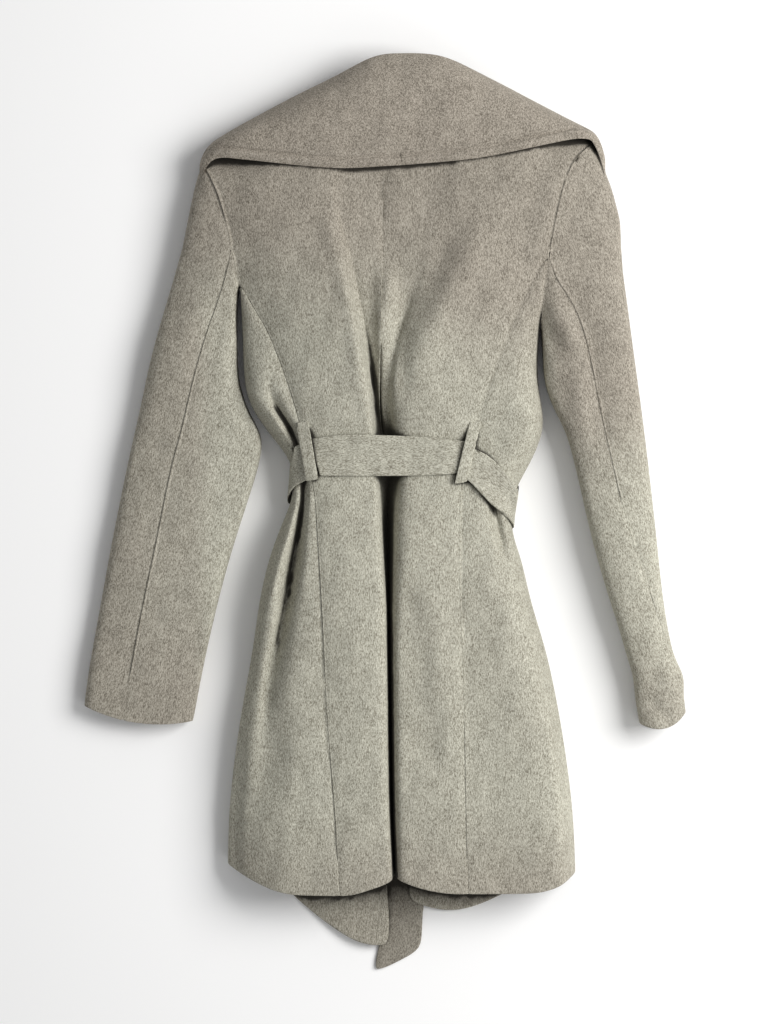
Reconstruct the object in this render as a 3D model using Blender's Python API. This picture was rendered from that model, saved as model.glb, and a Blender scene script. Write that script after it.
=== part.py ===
# A wool wrap coat with a big shawl collar and a tie belt, lying face down.
# Sizes are in millimetres and are scaled to metres when each mesh is made.
# The frame: X runs across the coat, Y up to the collar, Z up from the surface it lies on.

import math

import bpy
import numpy as np

for leftover in list(bpy.data.objects):
    bpy.data.objects.remove(leftover)

MM = 0.001

CLOTH = 2.5  # thickness of the wool
COLLAR_CLOTH = 3.2  # the collar is doubled
BELT_CLOTH = 3.4  # and so is the belt
LOOP_CLOTH = 2.0
SEAM_GAP = 0.36  # clear space between two pieces that are sewn together
SHARPEST_CORNER = 0.3  # keeps a piece's pointed corners from being drawn in too far
LAYER_GAP = 0.8  # clear space between two layers that lie on each other
FLAT_CLEARANCE = 0.6  # between the belt or a lapel and the front that lies on it
ROUND_CLEARANCE = 1.3  # between the belt and the side it goes round
LIFT = BELT_CLOTH + FLAT_CLEARANCE  # what lies on the belt or the lapels is this far off the surface
LAPEL_CLOTH = LIFT - FLAT_CLEARANCE
OVERLAP_LIFT = CLOTH + 0.7  # and the inner front is this much higher, on the outer one
LIFT_KEPT_TO = -26.0  # the sides come down from LIFT to the surface between these heights
LIFT_ENDS_AT = -100.0

ARMPIT_LEFT = 244.0
ARMPIT_RIGHT = 199.0
PRINCESS_START_RIGHT = 274.0
BELT_MIDDLE = 60.0
ARMPIT_UNDER = 10.0  # the side panels reach in underneath this far at the armpit
SIDE_UNDER = 36.0  # and this far from there down

# Where the seams and folds of the back lie, for each height y up the coat.
# edge: side outline. princess: seam. lip and foot: the sides of the centre valley. middle: back seam.
BACK_PLAN = [
    # y, edge_l, princess_l, lip_l, foot_l, middle, foot_r, lip_r, princess_r, edge_r
    (460, -199.0, -199.0, -65.5, -43.5, 14.9, 61.0, 98.5, 236.0, 236.0),
    (381, -188.0, -188.0, -66.6, -49.0, 3.9, 61.0, 98.5, 204.0, 204.0),
    (343, -178.5, -178.5, -63.3, -53.4, -1.7, 59.0, 98.5, 192.5, 192.5),
    (300, -169.0, -169.0, -51.2, -42.4, -1.7, 44.6, 83.0, 184.0, 184.0),
    (274, -162.8, -162.8, -44.0, -35.8, -1.7, 37.0, 72.0, 174.5, 178.5),
    (244, -158.6, -154.8, -36.9, -29.2, -2.8, 30.3, 61.0, 158.0, 175.5),
    (199, -157.5, -128.2, -28.1, -20.4, -3.3, 16.0, 37.0, 138.0, 171.0),
    (177, -156.8, -119.4, -24.8, -17.1, -3.9, 10.5, 28.0, 130.0, 170.0),
    (153, -156.2, -110.0, -21.5, -14.3, -4.4, 7.2, 23.7, 121.0, 169.4),
    (123, -152.0, -100.1, -18.2, -11.6, -5.0, 5.0, 21.5, 109.5, 172.7),
    (101, -139.0, -93.5, -15.4, -9.4, -3.9, 6.1, 22.6, 103.0, 177.0),
    (79, -123.0, -89.7, -14.3, -8.2, -0.6, 10.5, 24.8, 98.5, 173.0),
    (57, -104.0, -84.2, -13.8, -6.6, 2.8, 13.8, 23.7, 91.0, 164.0),
    (38, -101.5, -79.2, -12.7, -6.6, 5.0, 16.5, 26.0, 86.5, 153.0),
    (13, -103.5, -75.9, -11.0, -5.5, 3.9, 13.2, 24.2, 83.5, 142.5),
    (-18, -116.0, -73.7, -9.4, -3.9, 3.3, 9.9, 21.5, 82.5, 140.5),
    (-53, -128.5, -71.5, -7.2, -1.7, 3.9, 8.8, 20.4, 82.0, 152.0),
    (-97, -138.6, -68.8, -5.5, 0.0, 4.1, 8.2, 19.8, 83.5, 162.0),
    (-152, -146.0, -66.0, -3.9, 1.7, 5.0, 8.6, 19.2, 85.7, 179.0),
    (-207, -156.2, -63.6, -3.3, 2.0, 5.4, 9.1, 19.2, 87.8, 191.0),
    (-273, -166.7, -58.9, -2.8, 2.5, 6.1, 9.8, 19.8, 89.0, 202.0),
    (-339, -173.2, -53.4, -1.1, 4.4, 7.8, 11.6, 21.5, 90.2, 209.6),
    (-425, -175.0, -49.0, 3.9, 8.6, 11.8, 15.2, 23.7, 92.0, 213.0),
]

# How high the back lies above the surface along the same lines.
# depth: how far the middle seam is below the lips.
BACK_HEIGHT = [
    # y, edge_l, princess_l, lip_l, depth, lip_r, princess_r, edge_r
    (460, 18, 30, 40, 1, 40, 30, 20),
    (381, 18, 38, 47, 4, 47, 41, 20),
    (343, 20, 41, 53, 7, 52, 44, 21),
    (274, 20, 41, 61, 13, 58, 46, 22),
    (244, 35, 40, 63, 16, 60, 48, 30),
    (199, 25, 45, 65, 20, 61, 50, 30),
    (153, 24, 50, 66, 25, 61, 53, 24),
    (123, 24, 52, 64, 28, 59, 53, 25),
    (101, 24, 50, 60, 30, 56, 51, 25),
    (79, 22, 46, 53, 28, 51, 48, 23),
    (57, 21, 44, 49, 26, 48, 46, 22),
    (38, 21, 44, 49, 28, 48, 46, 22),
    (13, 22, 49, 54, 34, 53, 50, 23),
    (-18, 23, 55, 59, 41, 58, 55, 24),
    (-53, 24, 59, 62, 45, 61, 59, 25),
    (-152, 25, 61, 63, 46, 62, 61, 26),
    (-273, 24, 60, 61, 44, 61, 60, 25),
    (-425, 21, 54, 55, 38, 55, 54, 22),
]

# The two deep folds beside the belt: where each runs, how deep it goes and how wide it opens.
LEFT_FOLD = [
    # y, x, depth, width
    (150, -132.0, 0, 8.0),
    (123, -124.0, 7, 6.0),
    (101, -111.0, 13, 4.5),
    (79, -97.0, 13, 4.0),
    (57, -92.0, 8, 3.5),
    (38, -89.0, 20, 3.6),
    (13, -89.5, 25, 3.8),
    (-18, -94.0, 28, 4.2),
    (-53, -101.0, 30, 7.0),
    (-97, -108.0, 26, 8.5),
    (-152, -119.0, 16, 11.0),
    (-207, -129.0, 7, 13.0),
    (-273, -137.0, 2, 14.0),
    (-339, -140.0, 0, 14.0),
]
RIGHT_FOLD = [
    # y, x, depth, width
    (70, 103.0, 0, 7.0),
    (38, 111.0, 4, 5.5),
    (13, 119.0, 10, 4.8),
    (-18, 126.0, 13, 5.0),
    (-53, 134.0, 6, 8.0),
    (-97, 144.0, 0, 10.0),
]

# The bottom edge of the back, all the way across.
BACK_HEM = [
    # x, y
    (-175, -387), (-156, -400), (-130, -413), (-108, -421), (-46, -422), (-8, -412), (4, -405), (11, -400),
    (16, -402), (36, -413), (78, -420), (162, -420), (190, -413), (208, -404), (213, -395),
]

# The armholes, as the sleeve seams run down from the shoulder.
ARMHOLE_LEFT = [(244.8, -159.0), (291, -167.2), (326, -174.8), (353.7, -181.0), (384.5, -188.7)]
ARMHOLE_RIGHT = [
    (198.6, 171.1), (237.1, 174.6), (273.4, 178.4), (300, 184.2), (334, 190.4), (375.7, 202.6),
    (394.4, 213.5), (407.6, 227.2),
]
SHOULDER_HEIGHT_LEFT = 18.0
SHOULDER_HEIGHT_RIGHT = 20.0
SHOULDER_ROUND = 40.0  # the back reaches its full height this far in from the shoulder seam
TOP_BOXINESS = (0.50, 0.34)  # low powers give a sleeve a flatter top: at its outer and its inner edge
UNDER_BOXINESS = 0.36
UNDER_FLAT = 1.12  # more than 1 makes the middle of the underside flat

# The rings of each sleeve from the armhole to the cuff. outer and inner are its two folded edges, seam is
# how far the back seam lies from the outer edge, bow is how far the ring's middle is pushed to the cuff.
SLEEVE_LEFT = [
    # outer_x, outer_y, inner_x, inner_y, seam, height, floor, bow
    (-188.7, 384.5, -159.0, 244.8, 0.69, 42, LIFT, 0),
    (-205.5, 359.0, -161.6, 226.0, 0.72, 40, LIFT, 0),
    (-220.6, 300.0, -161.5, 204.0, 0.67, 38, 2.0, 0),
    (-239.0, 236.0, -161.5, 175.5, 0.583, 36, 0.0, 0),
    (-256.3, 177.7, -160.0, 142.0, 0.52, 35, 0.0, 0),
    (-267.0, 128.0, -149.0, 108.0, 0.434, 34, 0.0, 0),
    (-275.6, 89.7, -132.5, 84.7, 0.37, 33, 0.0, 0),
    (-283.8, 53.4, -134.8, 56.7, 0.343, 32, 0.0, 0),
    (-292.1, 12.7, -149.6, 10.5, 0.356, 31, 0.0, 0),
    (-303.6, -44.6, -168.3, -45.7, 0.374, 30, 0.0, 2),
    (-314.6, -108.4, -185.4, -110.6, 0.365, 29, 0.0, 4),
    (-326.2, -169.0, -199.1, -172.2, 0.372, 28, 0.0, 7),
    (-331.9, -214.0, -209.8, -231.0, 0.37, 26, 0.0, 11),
]
SLEEVE_RIGHT = [
    # outer_x, outer_y, inner_x, inner_y, seam, height, floor, bow
    (227.2, 407.6, 171.1, 198.6, 0.60, 46, LIFT, 0),
    (236.5, 384.5, 173.2, 180.0, 0.63, 46, LIFT, 0),
    (254.0, 326.2, 173.6, 159.0, 0.55, 47, 2.0, 0),
    (263.5, 265.7, 175.6, 138.0, 0.50, 48, 0.0, 0),
    (271.7, 199.7, 185.5, 112.0, 0.49, 48, 0.0, 0),
    (279.4, 144.7, 198.6, 89.7, 0.53, 48, 0.0, 0),
    (286.6, 89.7, 208.5, 54.5, 0.51, 48, 0.0, 0),
    (293.7, 29.2, 217.8, 12.7, 0.47, 48, 0.0, 0),
    (300.3, -31.4, 228.8, -34.7, 0.39, 47, 0.0, 0),
    (306.4, -97.4, 245.9, -94.1, 0.19, 45, 0.0, 0),
    (316.2, -152.4, 264.6, -149.1, 0.06, 42, 0.0, 4),
    (327.2, -190.9, 273.9, -196.4, 0.05, 40, 0.0, 8),
    (332.2, -221.7, 280.0, -233.8, 0.05, 38, 0.0, 12),
]
SLEEVE_UNDER_SEAM = 0.5
ARMHOLE_GAP = 0.5

# The fronts, on the underside: each one's loose edge and its bottom edge.
FRONT_LEFT_EDGE = [
    # y, x
    (466, -56), (381, -40), (300, -18), (200, 22), (120, 62), (57, 100), (-50, 78), (-200, 40), (-330, 10),
    (-410, 1.8), (-432, 3.4), (-460, 7.2), (-480, 3.2),
]
FRONT_RIGHT_EDGE = [
    (470, 96), (381, 82), (300, 60), (200, 24), (120, -8), (57, -30), (-50, -20), (-200, 2), (-350, 22),
    (-412, 27), (-430, 28), (-445, 33),
]
FRONT_LEFT_HEM = [
    # x, y
    (-175, -388), (-140, -397), (-100.7, -422), (-76.5, -446), (-45.7, -468), (-23.7, -479), (-9.4, -481.8),
    (4, -478),
]
FRONT_RIGHT_HEM = [
    (27, -429), (36, -437), (55.6, -440.6), (77.6, -440.6), (106, -433), (131.5, -421), (178, -402),
    (213, -395),
]

# The collar over the back. top: where it rolls over. free: its loose edge. crown: its height half way
# down. fold: the height of the roll. under: how far it turns back under itself, and end: the height there.
COLLAR = [
    # x, top, free, free_z, crown, fold, under, end
    (-203.6, 383, 365, 29, 30, 19, 11, 6),
    (-199.5, 395, 371, 34, 35, 19, 13, 3),
    (-192, 405, 385, 40, 41, 19, 14, 1),
    (-180, 413, 389, 45, 46, 19, 14, 0),
    (-163, 423, 386.7, 48, 50, 20, 14, 0),
    (-132, 440, 383.5, 50, 54, 21, 14, 0),
    (-102, 456, 380, 52, 57, 22, 14, 0),
    (-75, 469, 377.5, 53, 59, 24, 15, 4),
    (-52, 480, 376, 54, 60, 32, 22, 22),
    (-32, 491, 376.2, 55, 60, 38, 34, 31),
    (-8, 503, 378, 55, 60, 40, 48, 35),
    (17.5, 504, 379.4, 54, 60, 40, 55, 37),
    (19.5, 504, 379.5, 54, 60, 40, 55, 37),
    (45, 504, 381.5, 54, 60, 40, 50, 36),
    (69, 500, 383.5, 54, 60, 38, 39, 33),
    (94, 488, 385.8, 54, 60, 32, 24, 25),
    (120, 475, 390, 53, 59, 25, 15, 4),
    (146, 461.5, 395.5, 52, 57, 23, 14, 0),
    (183, 442, 403.5, 50, 54, 22, 14, 0),
    (213, 426.5, 410, 47, 49, 21, 13, 0),
    (227, 420, 408, 43, 44, 20, 14, 0),
    (234, 414, 396, 38, 39, 20, 14, 1),
    (239, 404, 381, 34, 35, 20, 13, 3),
    (242.8, 390, 368, 30, 31, 20, 12, 6),
]
COLLAR_SPLIT = 18.5
ROLL_NOSE = 7.0  # the roll turns back under over this length
ROLL_DEPTH = 10.0  # and over at least this height

# The lapels are the collar carried on down the fronts, flat on the surface.
LAPEL_LEFT = [
    # free_x, free_y, roll_x, roll_y
    (-185, 375, -62, 448), (-186, 345, -42, 395), (-166, 300, -24, 325), (-118, 240, -4, 262),
    (-80, 202, 11, 222), (-50, 172, -4, 178), (-22, 147, -17, 148),
]
LAPEL_RIGHT = [
    (220, 378, 100, 452), (218, 345, 84, 395), (196, 300, 68, 325), (148, 240, 44, 262), (95, 190, 18, 196),
    (45, 142, -1, 142), (2, 98, -17, 94),
]

# The belt: its two edges as it crosses the back, and the middle line of each stretch round the side.
BELT_BACK = [
    # x, top, bottom
    (-90, 78, 39), (-71, 81, 39), (-44, 84.4, 39), (0, 83.6, 39), (50, 81.3, 39.5), (80, 78, 42),
    (100, 76, 44),
]
BELT_WIDTH = 43.0
BELT_SIDE_LEFT = [
    # how far round (0 at the loop, 1 at the side seam underneath), y of the middle line, width up the coat
    (0, 58.5, 38), (0.3, 50, 42), (0.55, 34, 44), (0.8, 26, 43), (1, 24, 43),
]
BELT_SIDE_RIGHT = [
    (0, 59, 37), (0.25, 37, 47), (0.5, 19, 52), (0.7, 6, 49), (0.85, 2, 45), (1, 0, 43),
]
KNOT_X = 22.0
KNOT_HALF_WIDTH = 24.0
KNOT_Y = 40.0
KNOT_OVER = 3.0  # the knot is this much taller than the belt on each side, and again in its middle
TAIL_LONG_INSET = (2.0, 6.0)  # how far in from the knot's sides the long hanging end starts
TAIL_LONG = [
    # its two edges from there down: left_x, left_y, right_x, right_y
    (2, -180, 44, -180), (3.5, -411, 45, -411), (-6.3, -483, 42.3, -440), (-10, -493, 40.6, -482.5),
    (-9.5, -504.5, 0, -504.5),
]
TAIL_SHORT_INSET = 5.0
TAIL_SHORT = [
    # shift to the right, and how far down from the knot its left and its right edge are
    (0, 0, 36), (6, 136, 136), (12, 250, 228),
]

LOOP_HALF_WIDTH = 7.0
LOOP_LEFT = [(-90.5, 99), (-79.5, 34)]  # the middle of its top and bottom ends
LOOP_RIGHT = [(100, 99), (83.5, 31)]

WOOL = (0.46, 0.44, 0.38)
WOOL_SHADE = (0.44, 0.415, 0.37)
WOOL_ROUGHNESS = 0.95
SHARP_FROM = 50  # degrees between faces

CLOSE = 0.01  # two heights nearer than this count as the same


def unit(vector):
    length = math.sqrt(float(np.dot(vector, vector)))
    return vector / length if length > 1e-9 else vector


def smooth_step(value, low, high):
    t = min(1.0, max(0.0, (value - low) / (high - low)))
    return t * t * (3 - 2 * t)


def table_curve(rows):
    """Read every column of a table smoothly at any value of its first column, without overshoot."""
    data = np.array(sorted(rows), dtype=float)
    key = data[:, 0]
    values = data[:, 1:]
    step = np.diff(key)[:, None]
    slope = np.diff(values, axis=0) / step
    tangent = np.zeros_like(values)
    product = slope[:-1] * slope[1:]
    same_way = product > 0
    total = slope[:-1] + slope[1:]
    tangent[1:-1] = np.where(same_way, 2 * product / np.where(same_way, total, 1), 0)
    tangent[0] = slope[0]
    tangent[-1] = slope[-1]

    def read(at):
        at = min(max(at, key[0]), key[-1])
        i = min(int(np.searchsorted(key, at, side="right")) - 1, len(key) - 2)
        h = key[i + 1] - key[i]
        t = (at - key[i]) / h
        blend = (2 * t**3 - 3 * t**2 + 1) * values[i] + (3 * t**2 - 2 * t**3) * values[i + 1]
        return blend + h * ((t**3 - 2 * t**2 + t) * tangent[i] + (t**3 - t**2) * tangent[i + 1])

    return read


back_plan = table_curve(BACK_PLAN)
back_height = table_curve(BACK_HEIGHT)
left_fold = table_curve(LEFT_FOLD)
right_fold = table_curve(RIGHT_FOLD)
back_hem = table_curve(BACK_HEM)
armhole_left = table_curve(ARMHOLE_LEFT)
armhole_right = table_curve(ARMHOLE_RIGHT)
front_left_edge = table_curve(FRONT_LEFT_EDGE)
front_right_edge = table_curve(FRONT_RIGHT_EDGE)
front_left_hem = table_curve(FRONT_LEFT_HEM)
front_right_hem = table_curve(FRONT_RIGHT_HEM)
collar_at = table_curve(COLLAR)
belt_back_at = table_curve(BELT_BACK)
belt_side_left_at = table_curve(BELT_SIDE_LEFT)
belt_side_right_at = table_curve(BELT_SIDE_RIGHT)


def ring_height(across, height, floor, middle, underneath):
    """Height of a flattened tube at a place across it, on its top or on its underside."""
    round_off = math.sqrt(max(0.0, 1 - (2 * across - 1) ** 2))
    if underneath:
        return middle - (middle - floor) * min(1.0, UNDER_FLAT * round_off**UNDER_BOXINESS)
    power = TOP_BOXINESS[0] + (TOP_BOXINESS[1] - TOP_BOXINESS[0]) * across
    return middle + (height - middle) * round_off**power


def armhole_height(side, y, underneath):
    """Height of the armhole seam, which the sleeve and the body share."""
    ring = SLEEVE_LEFT[0] if side == "left" else SLEEVE_RIGHT[0]
    middle = SHOULDER_HEIGHT_LEFT if side == "left" else SHOULDER_HEIGHT_RIGHT
    across = min(1.0, max(0.0, (ring[1] - y) / (ring[1] - ring[3])))
    height, floor = ring[-3:-1]
    return ring_height(across, height, floor, middle, underneath)


def square_to_seam(seam_at, y, normal):
    """Turn a direction so that the wall's edge faces the piece across the seam squarely."""
    across_seam = unit(np.array((1.0, (seam_at(y - 2) - seam_at(y + 2)) / 4.0, 0.0)))
    return unit(normal - np.dot(normal, across_seam) * across_seam)


def along_armhole(side, y, normal):
    hole = armhole_left if side == "left" else armhole_right
    return square_to_seam(lambda at: hole(at)[0], y, normal)


def side_seam(side, y):
    """Where the side seam runs underneath."""
    if side == "left":
        return back_plan(y)[0] + under_width(side, y)
    return back_plan(y)[-1] - under_width(side, y)


def side_floor(y):
    """How far the sides of the body lie off the surface."""
    return LIFT * smooth_step(y, LIFT_ENDS_AT, LIFT_KEPT_TO)


def under_width(side, y):
    """How far the side panel reaches in underneath before its seam with the front."""
    armpit = ARMPIT_LEFT if side == "left" else ARMPIT_RIGHT
    return ARMPIT_UNDER + (SIDE_UNDER - ARMPIT_UNDER) * smooth_step(armpit - y, 0, UNDER_WIDENS_OVER)


UNDER_WIDENS_OVER = 90.0
SIDE_STEPS = (0, 0.14, 0.28, 0.42, 0.58, 0.74, 0.88, 1.0)  # columns across the side panel without a fold
FOLD_BETWEEN = (0.25, 0.8)  # a fold's own column stays between these shares of the panel's width
FOLD_OPENS_BETWEEN = (0.12, 0.94)  # and the columns beside it stay between these
FOLD_REACH = 0.45
GATHERED_FROM = 5.0  # a fold as deep as this has all the columns gathered round it
UNDER_ANGLES = (90, 62, 34)  # columns round the side, in degrees from the outline to the underside
UNDER_TURN = 16.0  # the side turns under over this width
UNDER_TURN_SHARE = 0.7  # or over this share of what lies underneath
PANEL_STEPS = (0.2, 0.4, 0.6, 0.8, 1.0)
PANEL_EASE = -0.3  # below 0 the panel already climbs at the princess seam
VALLEY_STEPS = ((0.72, 0.24), (1.0, 0.80))  # share of the way from lip to foot, and of the depth there
CROWN = 2.5
SIDE_ROUND = 30.0


def fold_columns(edge, princess, fold):
    """Places across the side panel, gathered round its fold where there is one."""
    x, depth, width = fold
    spread = [edge + (princess - edge) * s for s in SIDE_STEPS]
    inward = 1.0 if princess > edge else -1.0
    span = abs(princess - edge)
    reach = min(2.0 * width, FOLD_REACH * span)
    near = min(max((x - edge) * inward, FOLD_BETWEEN[0] * span), FOLD_BETWEEN[1] * span)
    before = max(near - reach, FOLD_OPENS_BETWEEN[0] * span)
    after = min(near + reach, FOLD_OPENS_BETWEEN[1] * span)
    gathered = [0, 0.5 * before, before, 0.5 * (before + near), near, 0.5 * (near + after), after, span]
    weight = smooth_step(depth, 0, GATHERED_FROM)
    return [(1 - weight) * a + weight * (edge + inward * b) for a, b in zip(spread, gathered)]


def half_section(side, y):
    """Points of the back at one height, from the side seam underneath to the middle seam."""
    edge_l, princess_l, lip_l, foot_l, middle, foot_r, lip_r, princess_r, edge_r = back_plan(y)
    edge_l_z, princess_l_z, lip_l_z, depth, lip_r_z, princess_r_z, edge_r_z = back_height(y)
    if side == "left":
        edge, princess, lip, foot = edge_l, princess_l, lip_l, foot_l
        edge_z, princess_z, lip_z = edge_l_z, princess_l_z, lip_l_z
        fold = left_fold(y)
        inward = 1.0
        armpit = seam_start = ARMPIT_LEFT
        hole = armhole_left
    else:
        edge, princess, lip, foot = edge_r, princess_r, lip_r, foot_r
        edge_z, princess_z, lip_z = edge_r_z, princess_r_z, lip_r_z
        fold = right_fold(y)
        inward = -1.0
        armpit = ARMPIT_RIGHT
        seam_start = PRINCESS_START_RIGHT
        hole = armhole_right
    floor = side_floor(y)
    if y > armpit + CLOSE:
        edge = hole(y)[0]
        edge_z = armhole_height(side, y, False)
        if y > seam_start + CLOSE:
            princess = edge
            princess_z = edge_z

    points = []
    reach = under_width(side, y)
    turn = min(UNDER_TURN, UNDER_TURN_SHARE * reach)
    points.append((edge + inward * reach, floor))
    for angle in UNDER_ANGLES:
        across = 1 - math.cos(math.radians(angle))
        down = 1 - math.sin(math.radians(angle))
        points.append((edge + inward * turn * across, floor + (edge_z - floor) * down))
    rounding = max(1.0, min(SIDE_ROUND, abs(princess - edge)))
    for x in fold_columns(edge, princess, fold):
        near = min(1.0, abs(x - edge) / rounding)
        z = edge_z + (princess_z - edge_z) * math.sqrt(1 - (1 - near) ** 2)
        z -= fold[1] * math.exp(-(abs(x - fold[0]) / fold[2]) ** 2) * near
        points.append((x, z))
    for s in PANEL_STEPS:
        z = princess_z + (lip_z - princess_z) * smooth_step(s, PANEL_EASE, 1.0)
        z += CROWN * math.sin(math.pi * s)
        points.append((princess + (lip - princess) * s, z))
    for out, down in VALLEY_STEPS:
        points.append((lip + out * (foot - lip), lip_z - down * depth))
    points.append((middle, lip_z - depth))
    return points


SEAM_COLUMN = 0
EDGE_COLUMN = 1 + len(UNDER_ANGLES)
PRINCESS_COLUMN = EDGE_COLUMN + len(SIDE_STEPS) - 1
LIP_COLUMN = PRINCESS_COLUMN + len(PANEL_STEPS)
MIDDLE_COLUMN = LIP_COLUMN + len(VALLEY_STEPS) + 1

# The top edge of the back along its columns: the shoulder seam, then the neck.
TOP_EDGE_LEFT = {"princess": (384.5, 18.0), "lip": (454, 22.0), "foot": (452, 33.0), "middle": (440, 40.0)}
TOP_EDGE_RIGHT = {"princess": (407.6, 20.0), "lip": (463, 23.0), "foot": (455, 34.0), "middle": (440, 40.0)}


def top_edge(side, column):
    """Height up the coat, and off the surface, of the back's top edge at a column."""
    table = TOP_EDGE_LEFT if side == "left" else TOP_EDGE_RIGHT
    at = [
        (PRINCESS_COLUMN, *table["princess"]),
        (LIP_COLUMN, *table["lip"]),
        (MIDDLE_COLUMN - 1, *table["foot"]),
        (MIDDLE_COLUMN, *table["middle"]),
    ]
    column = max(column, PRINCESS_COLUMN)
    keys = [row[0] for row in at]
    return np.interp(column, keys, [row[1] for row in at]), np.interp(column, keys, [row[2] for row in at])


def body_point(side, column, y):
    """A point of the outer face of the back or side at a whole or part column and a height."""
    section = half_section(side, y)
    low = int(min(max(math.floor(column), 0), len(section) - 2))
    part = column - low
    x = section[low][0] * (1 - part) + section[low + 1][0] * part
    z = section[low][1] * (1 - part) + section[low + 1][1] * part
    if column >= PRINCESS_COLUMN - 0.5:
        top_y, top_z = top_edge(side, column)
        inside = min(1.0, max(0.0, (top_y - y) / SHOULDER_ROUND))
        full = math.sqrt(1 - (1 - inside) ** 2)
        blend = smooth_step(column, PRINCESS_COLUMN, PRINCESS_COLUMN + 1.0)
        z = z * (1 - blend) + (top_z + (z - top_z) * full) * blend
    return np.array((x, y, z))


def body_normal(side, column, y):
    """Outward direction of the body's outer face."""
    above_pit = y > (ARMPIT_LEFT if side == "left" else ARMPIT_RIGHT) + CLOSE
    on_back_only = y > (ARMPIT_LEFT if side == "left" else PRINCESS_START_RIGHT) + CLOSE
    lowest = PRINCESS_COLUMN if on_back_only else (EDGE_COLUMN if above_pit else SEAM_COLUMN)
    before = max(column - 0.5, lowest)
    after = min(column + 0.5, MIDDLE_COLUMN)
    across = body_point(side, after, y) - body_point(side, before, y)
    if column == MIDDLE_COLUMN:
        mirror = "right" if side == "left" else "left"
        across = body_point(mirror, MIDDLE_COLUMN - 0.5, y) - body_point(side, before, y)
    top_y = top_edge(side, column)[0]
    highest = top_y
    if column < PRINCESS_COLUMN and not above_pit:
        highest = ARMPIT_LEFT if side == "left" else ARMPIT_RIGHT
    elif column <= PRINCESS_COLUMN and not on_back_only:
        highest = ARMPIT_LEFT if side == "left" else PRINCESS_START_RIGHT
    along = body_point(side, column, min(y + 1.0, highest)) - body_point(side, column, y - 1.0)
    normal = unit(np.cross(across, along))
    if side == "right":
        normal = -normal
    if (on_back_only and column == PRINCESS_COLUMN) or (above_pit and column == EDGE_COLUMN):
        normal = along_armhole(side, y, normal)
    if column == SEAM_COLUMN:
        normal = square_to_seam(lambda at: side_seam(side, at), y, normal)
    elif y > top_y - CLOSE and EDGE_COLUMN < column <= LIP_COLUMN:
        normal = unit(normal * (1, 1, 0))
    return normal


# Rows of the back from the shoulders to the hem. The first group starts at the top edge of each column,
# and the last ends at the hem.
UPPER_ROWS = (0.0, 0.012, 0.045, 0.10, 0.18, 0.30, 0.44, 0.60, 0.78, 0.92)
SHARED_ROWS = (274, 260, 251, 244, 222, 199, 177, 153, 130, 112, 95, 78, 57, 36, 18)
SKIRT_ROWS = (0.02, 0.06, 0.11, 0.17, 0.24, 0.31, 0.39, 0.47, 0.55, 0.63, 0.71, 0.79, 0.87, 0.94, 1.0)
HEM_READ_AT = -410.0  # a column's place across is read here to find where the hem cuts it
SIDE_HEM_READ_AT = -400.0
FRONT_HEM_READ_AT = -425.0


def body_rows(side, column):
    """Heights of one column's points."""
    top_y = top_edge(side, column)[0]
    rows = [top_y + (SHARED_ROWS[0] - top_y) * r for r in UPPER_ROWS]
    rows += list(SHARED_ROWS)
    x = body_point(side, column, HEM_READ_AT)[0]
    if column <= EDGE_COLUMN:
        x = body_point(side, EDGE_COLUMN, SIDE_HEM_READ_AT)[0]
    hem = back_hem(x)[0]
    rows += [SHARED_ROWS[-1] + (hem - SHARED_ROWS[-1]) * r for r in SKIRT_ROWS]
    return rows


PIT_ROW_LEFT = len(UPPER_ROWS) + SHARED_ROWS.index(244)
PIT_ROW_RIGHT = len(UPPER_ROWS) + SHARED_ROWS.index(199)
PRINCESS_ROW_RIGHT = len(UPPER_ROWS)

materials = {}


def wool(name, colour):
    if name not in materials:
        material = bpy.data.materials.new(name)
        material.use_nodes = True
        shader = material.node_tree.nodes["Principled BSDF"]
        shader.inputs["Base Color"].default_value = (*colour, 1)
        shader.inputs["Roughness"].default_value = WOOL_ROUGHNESS
        shader.inputs["Metallic"].default_value = 0.0
        materials[name] = material
    return materials[name]


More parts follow.
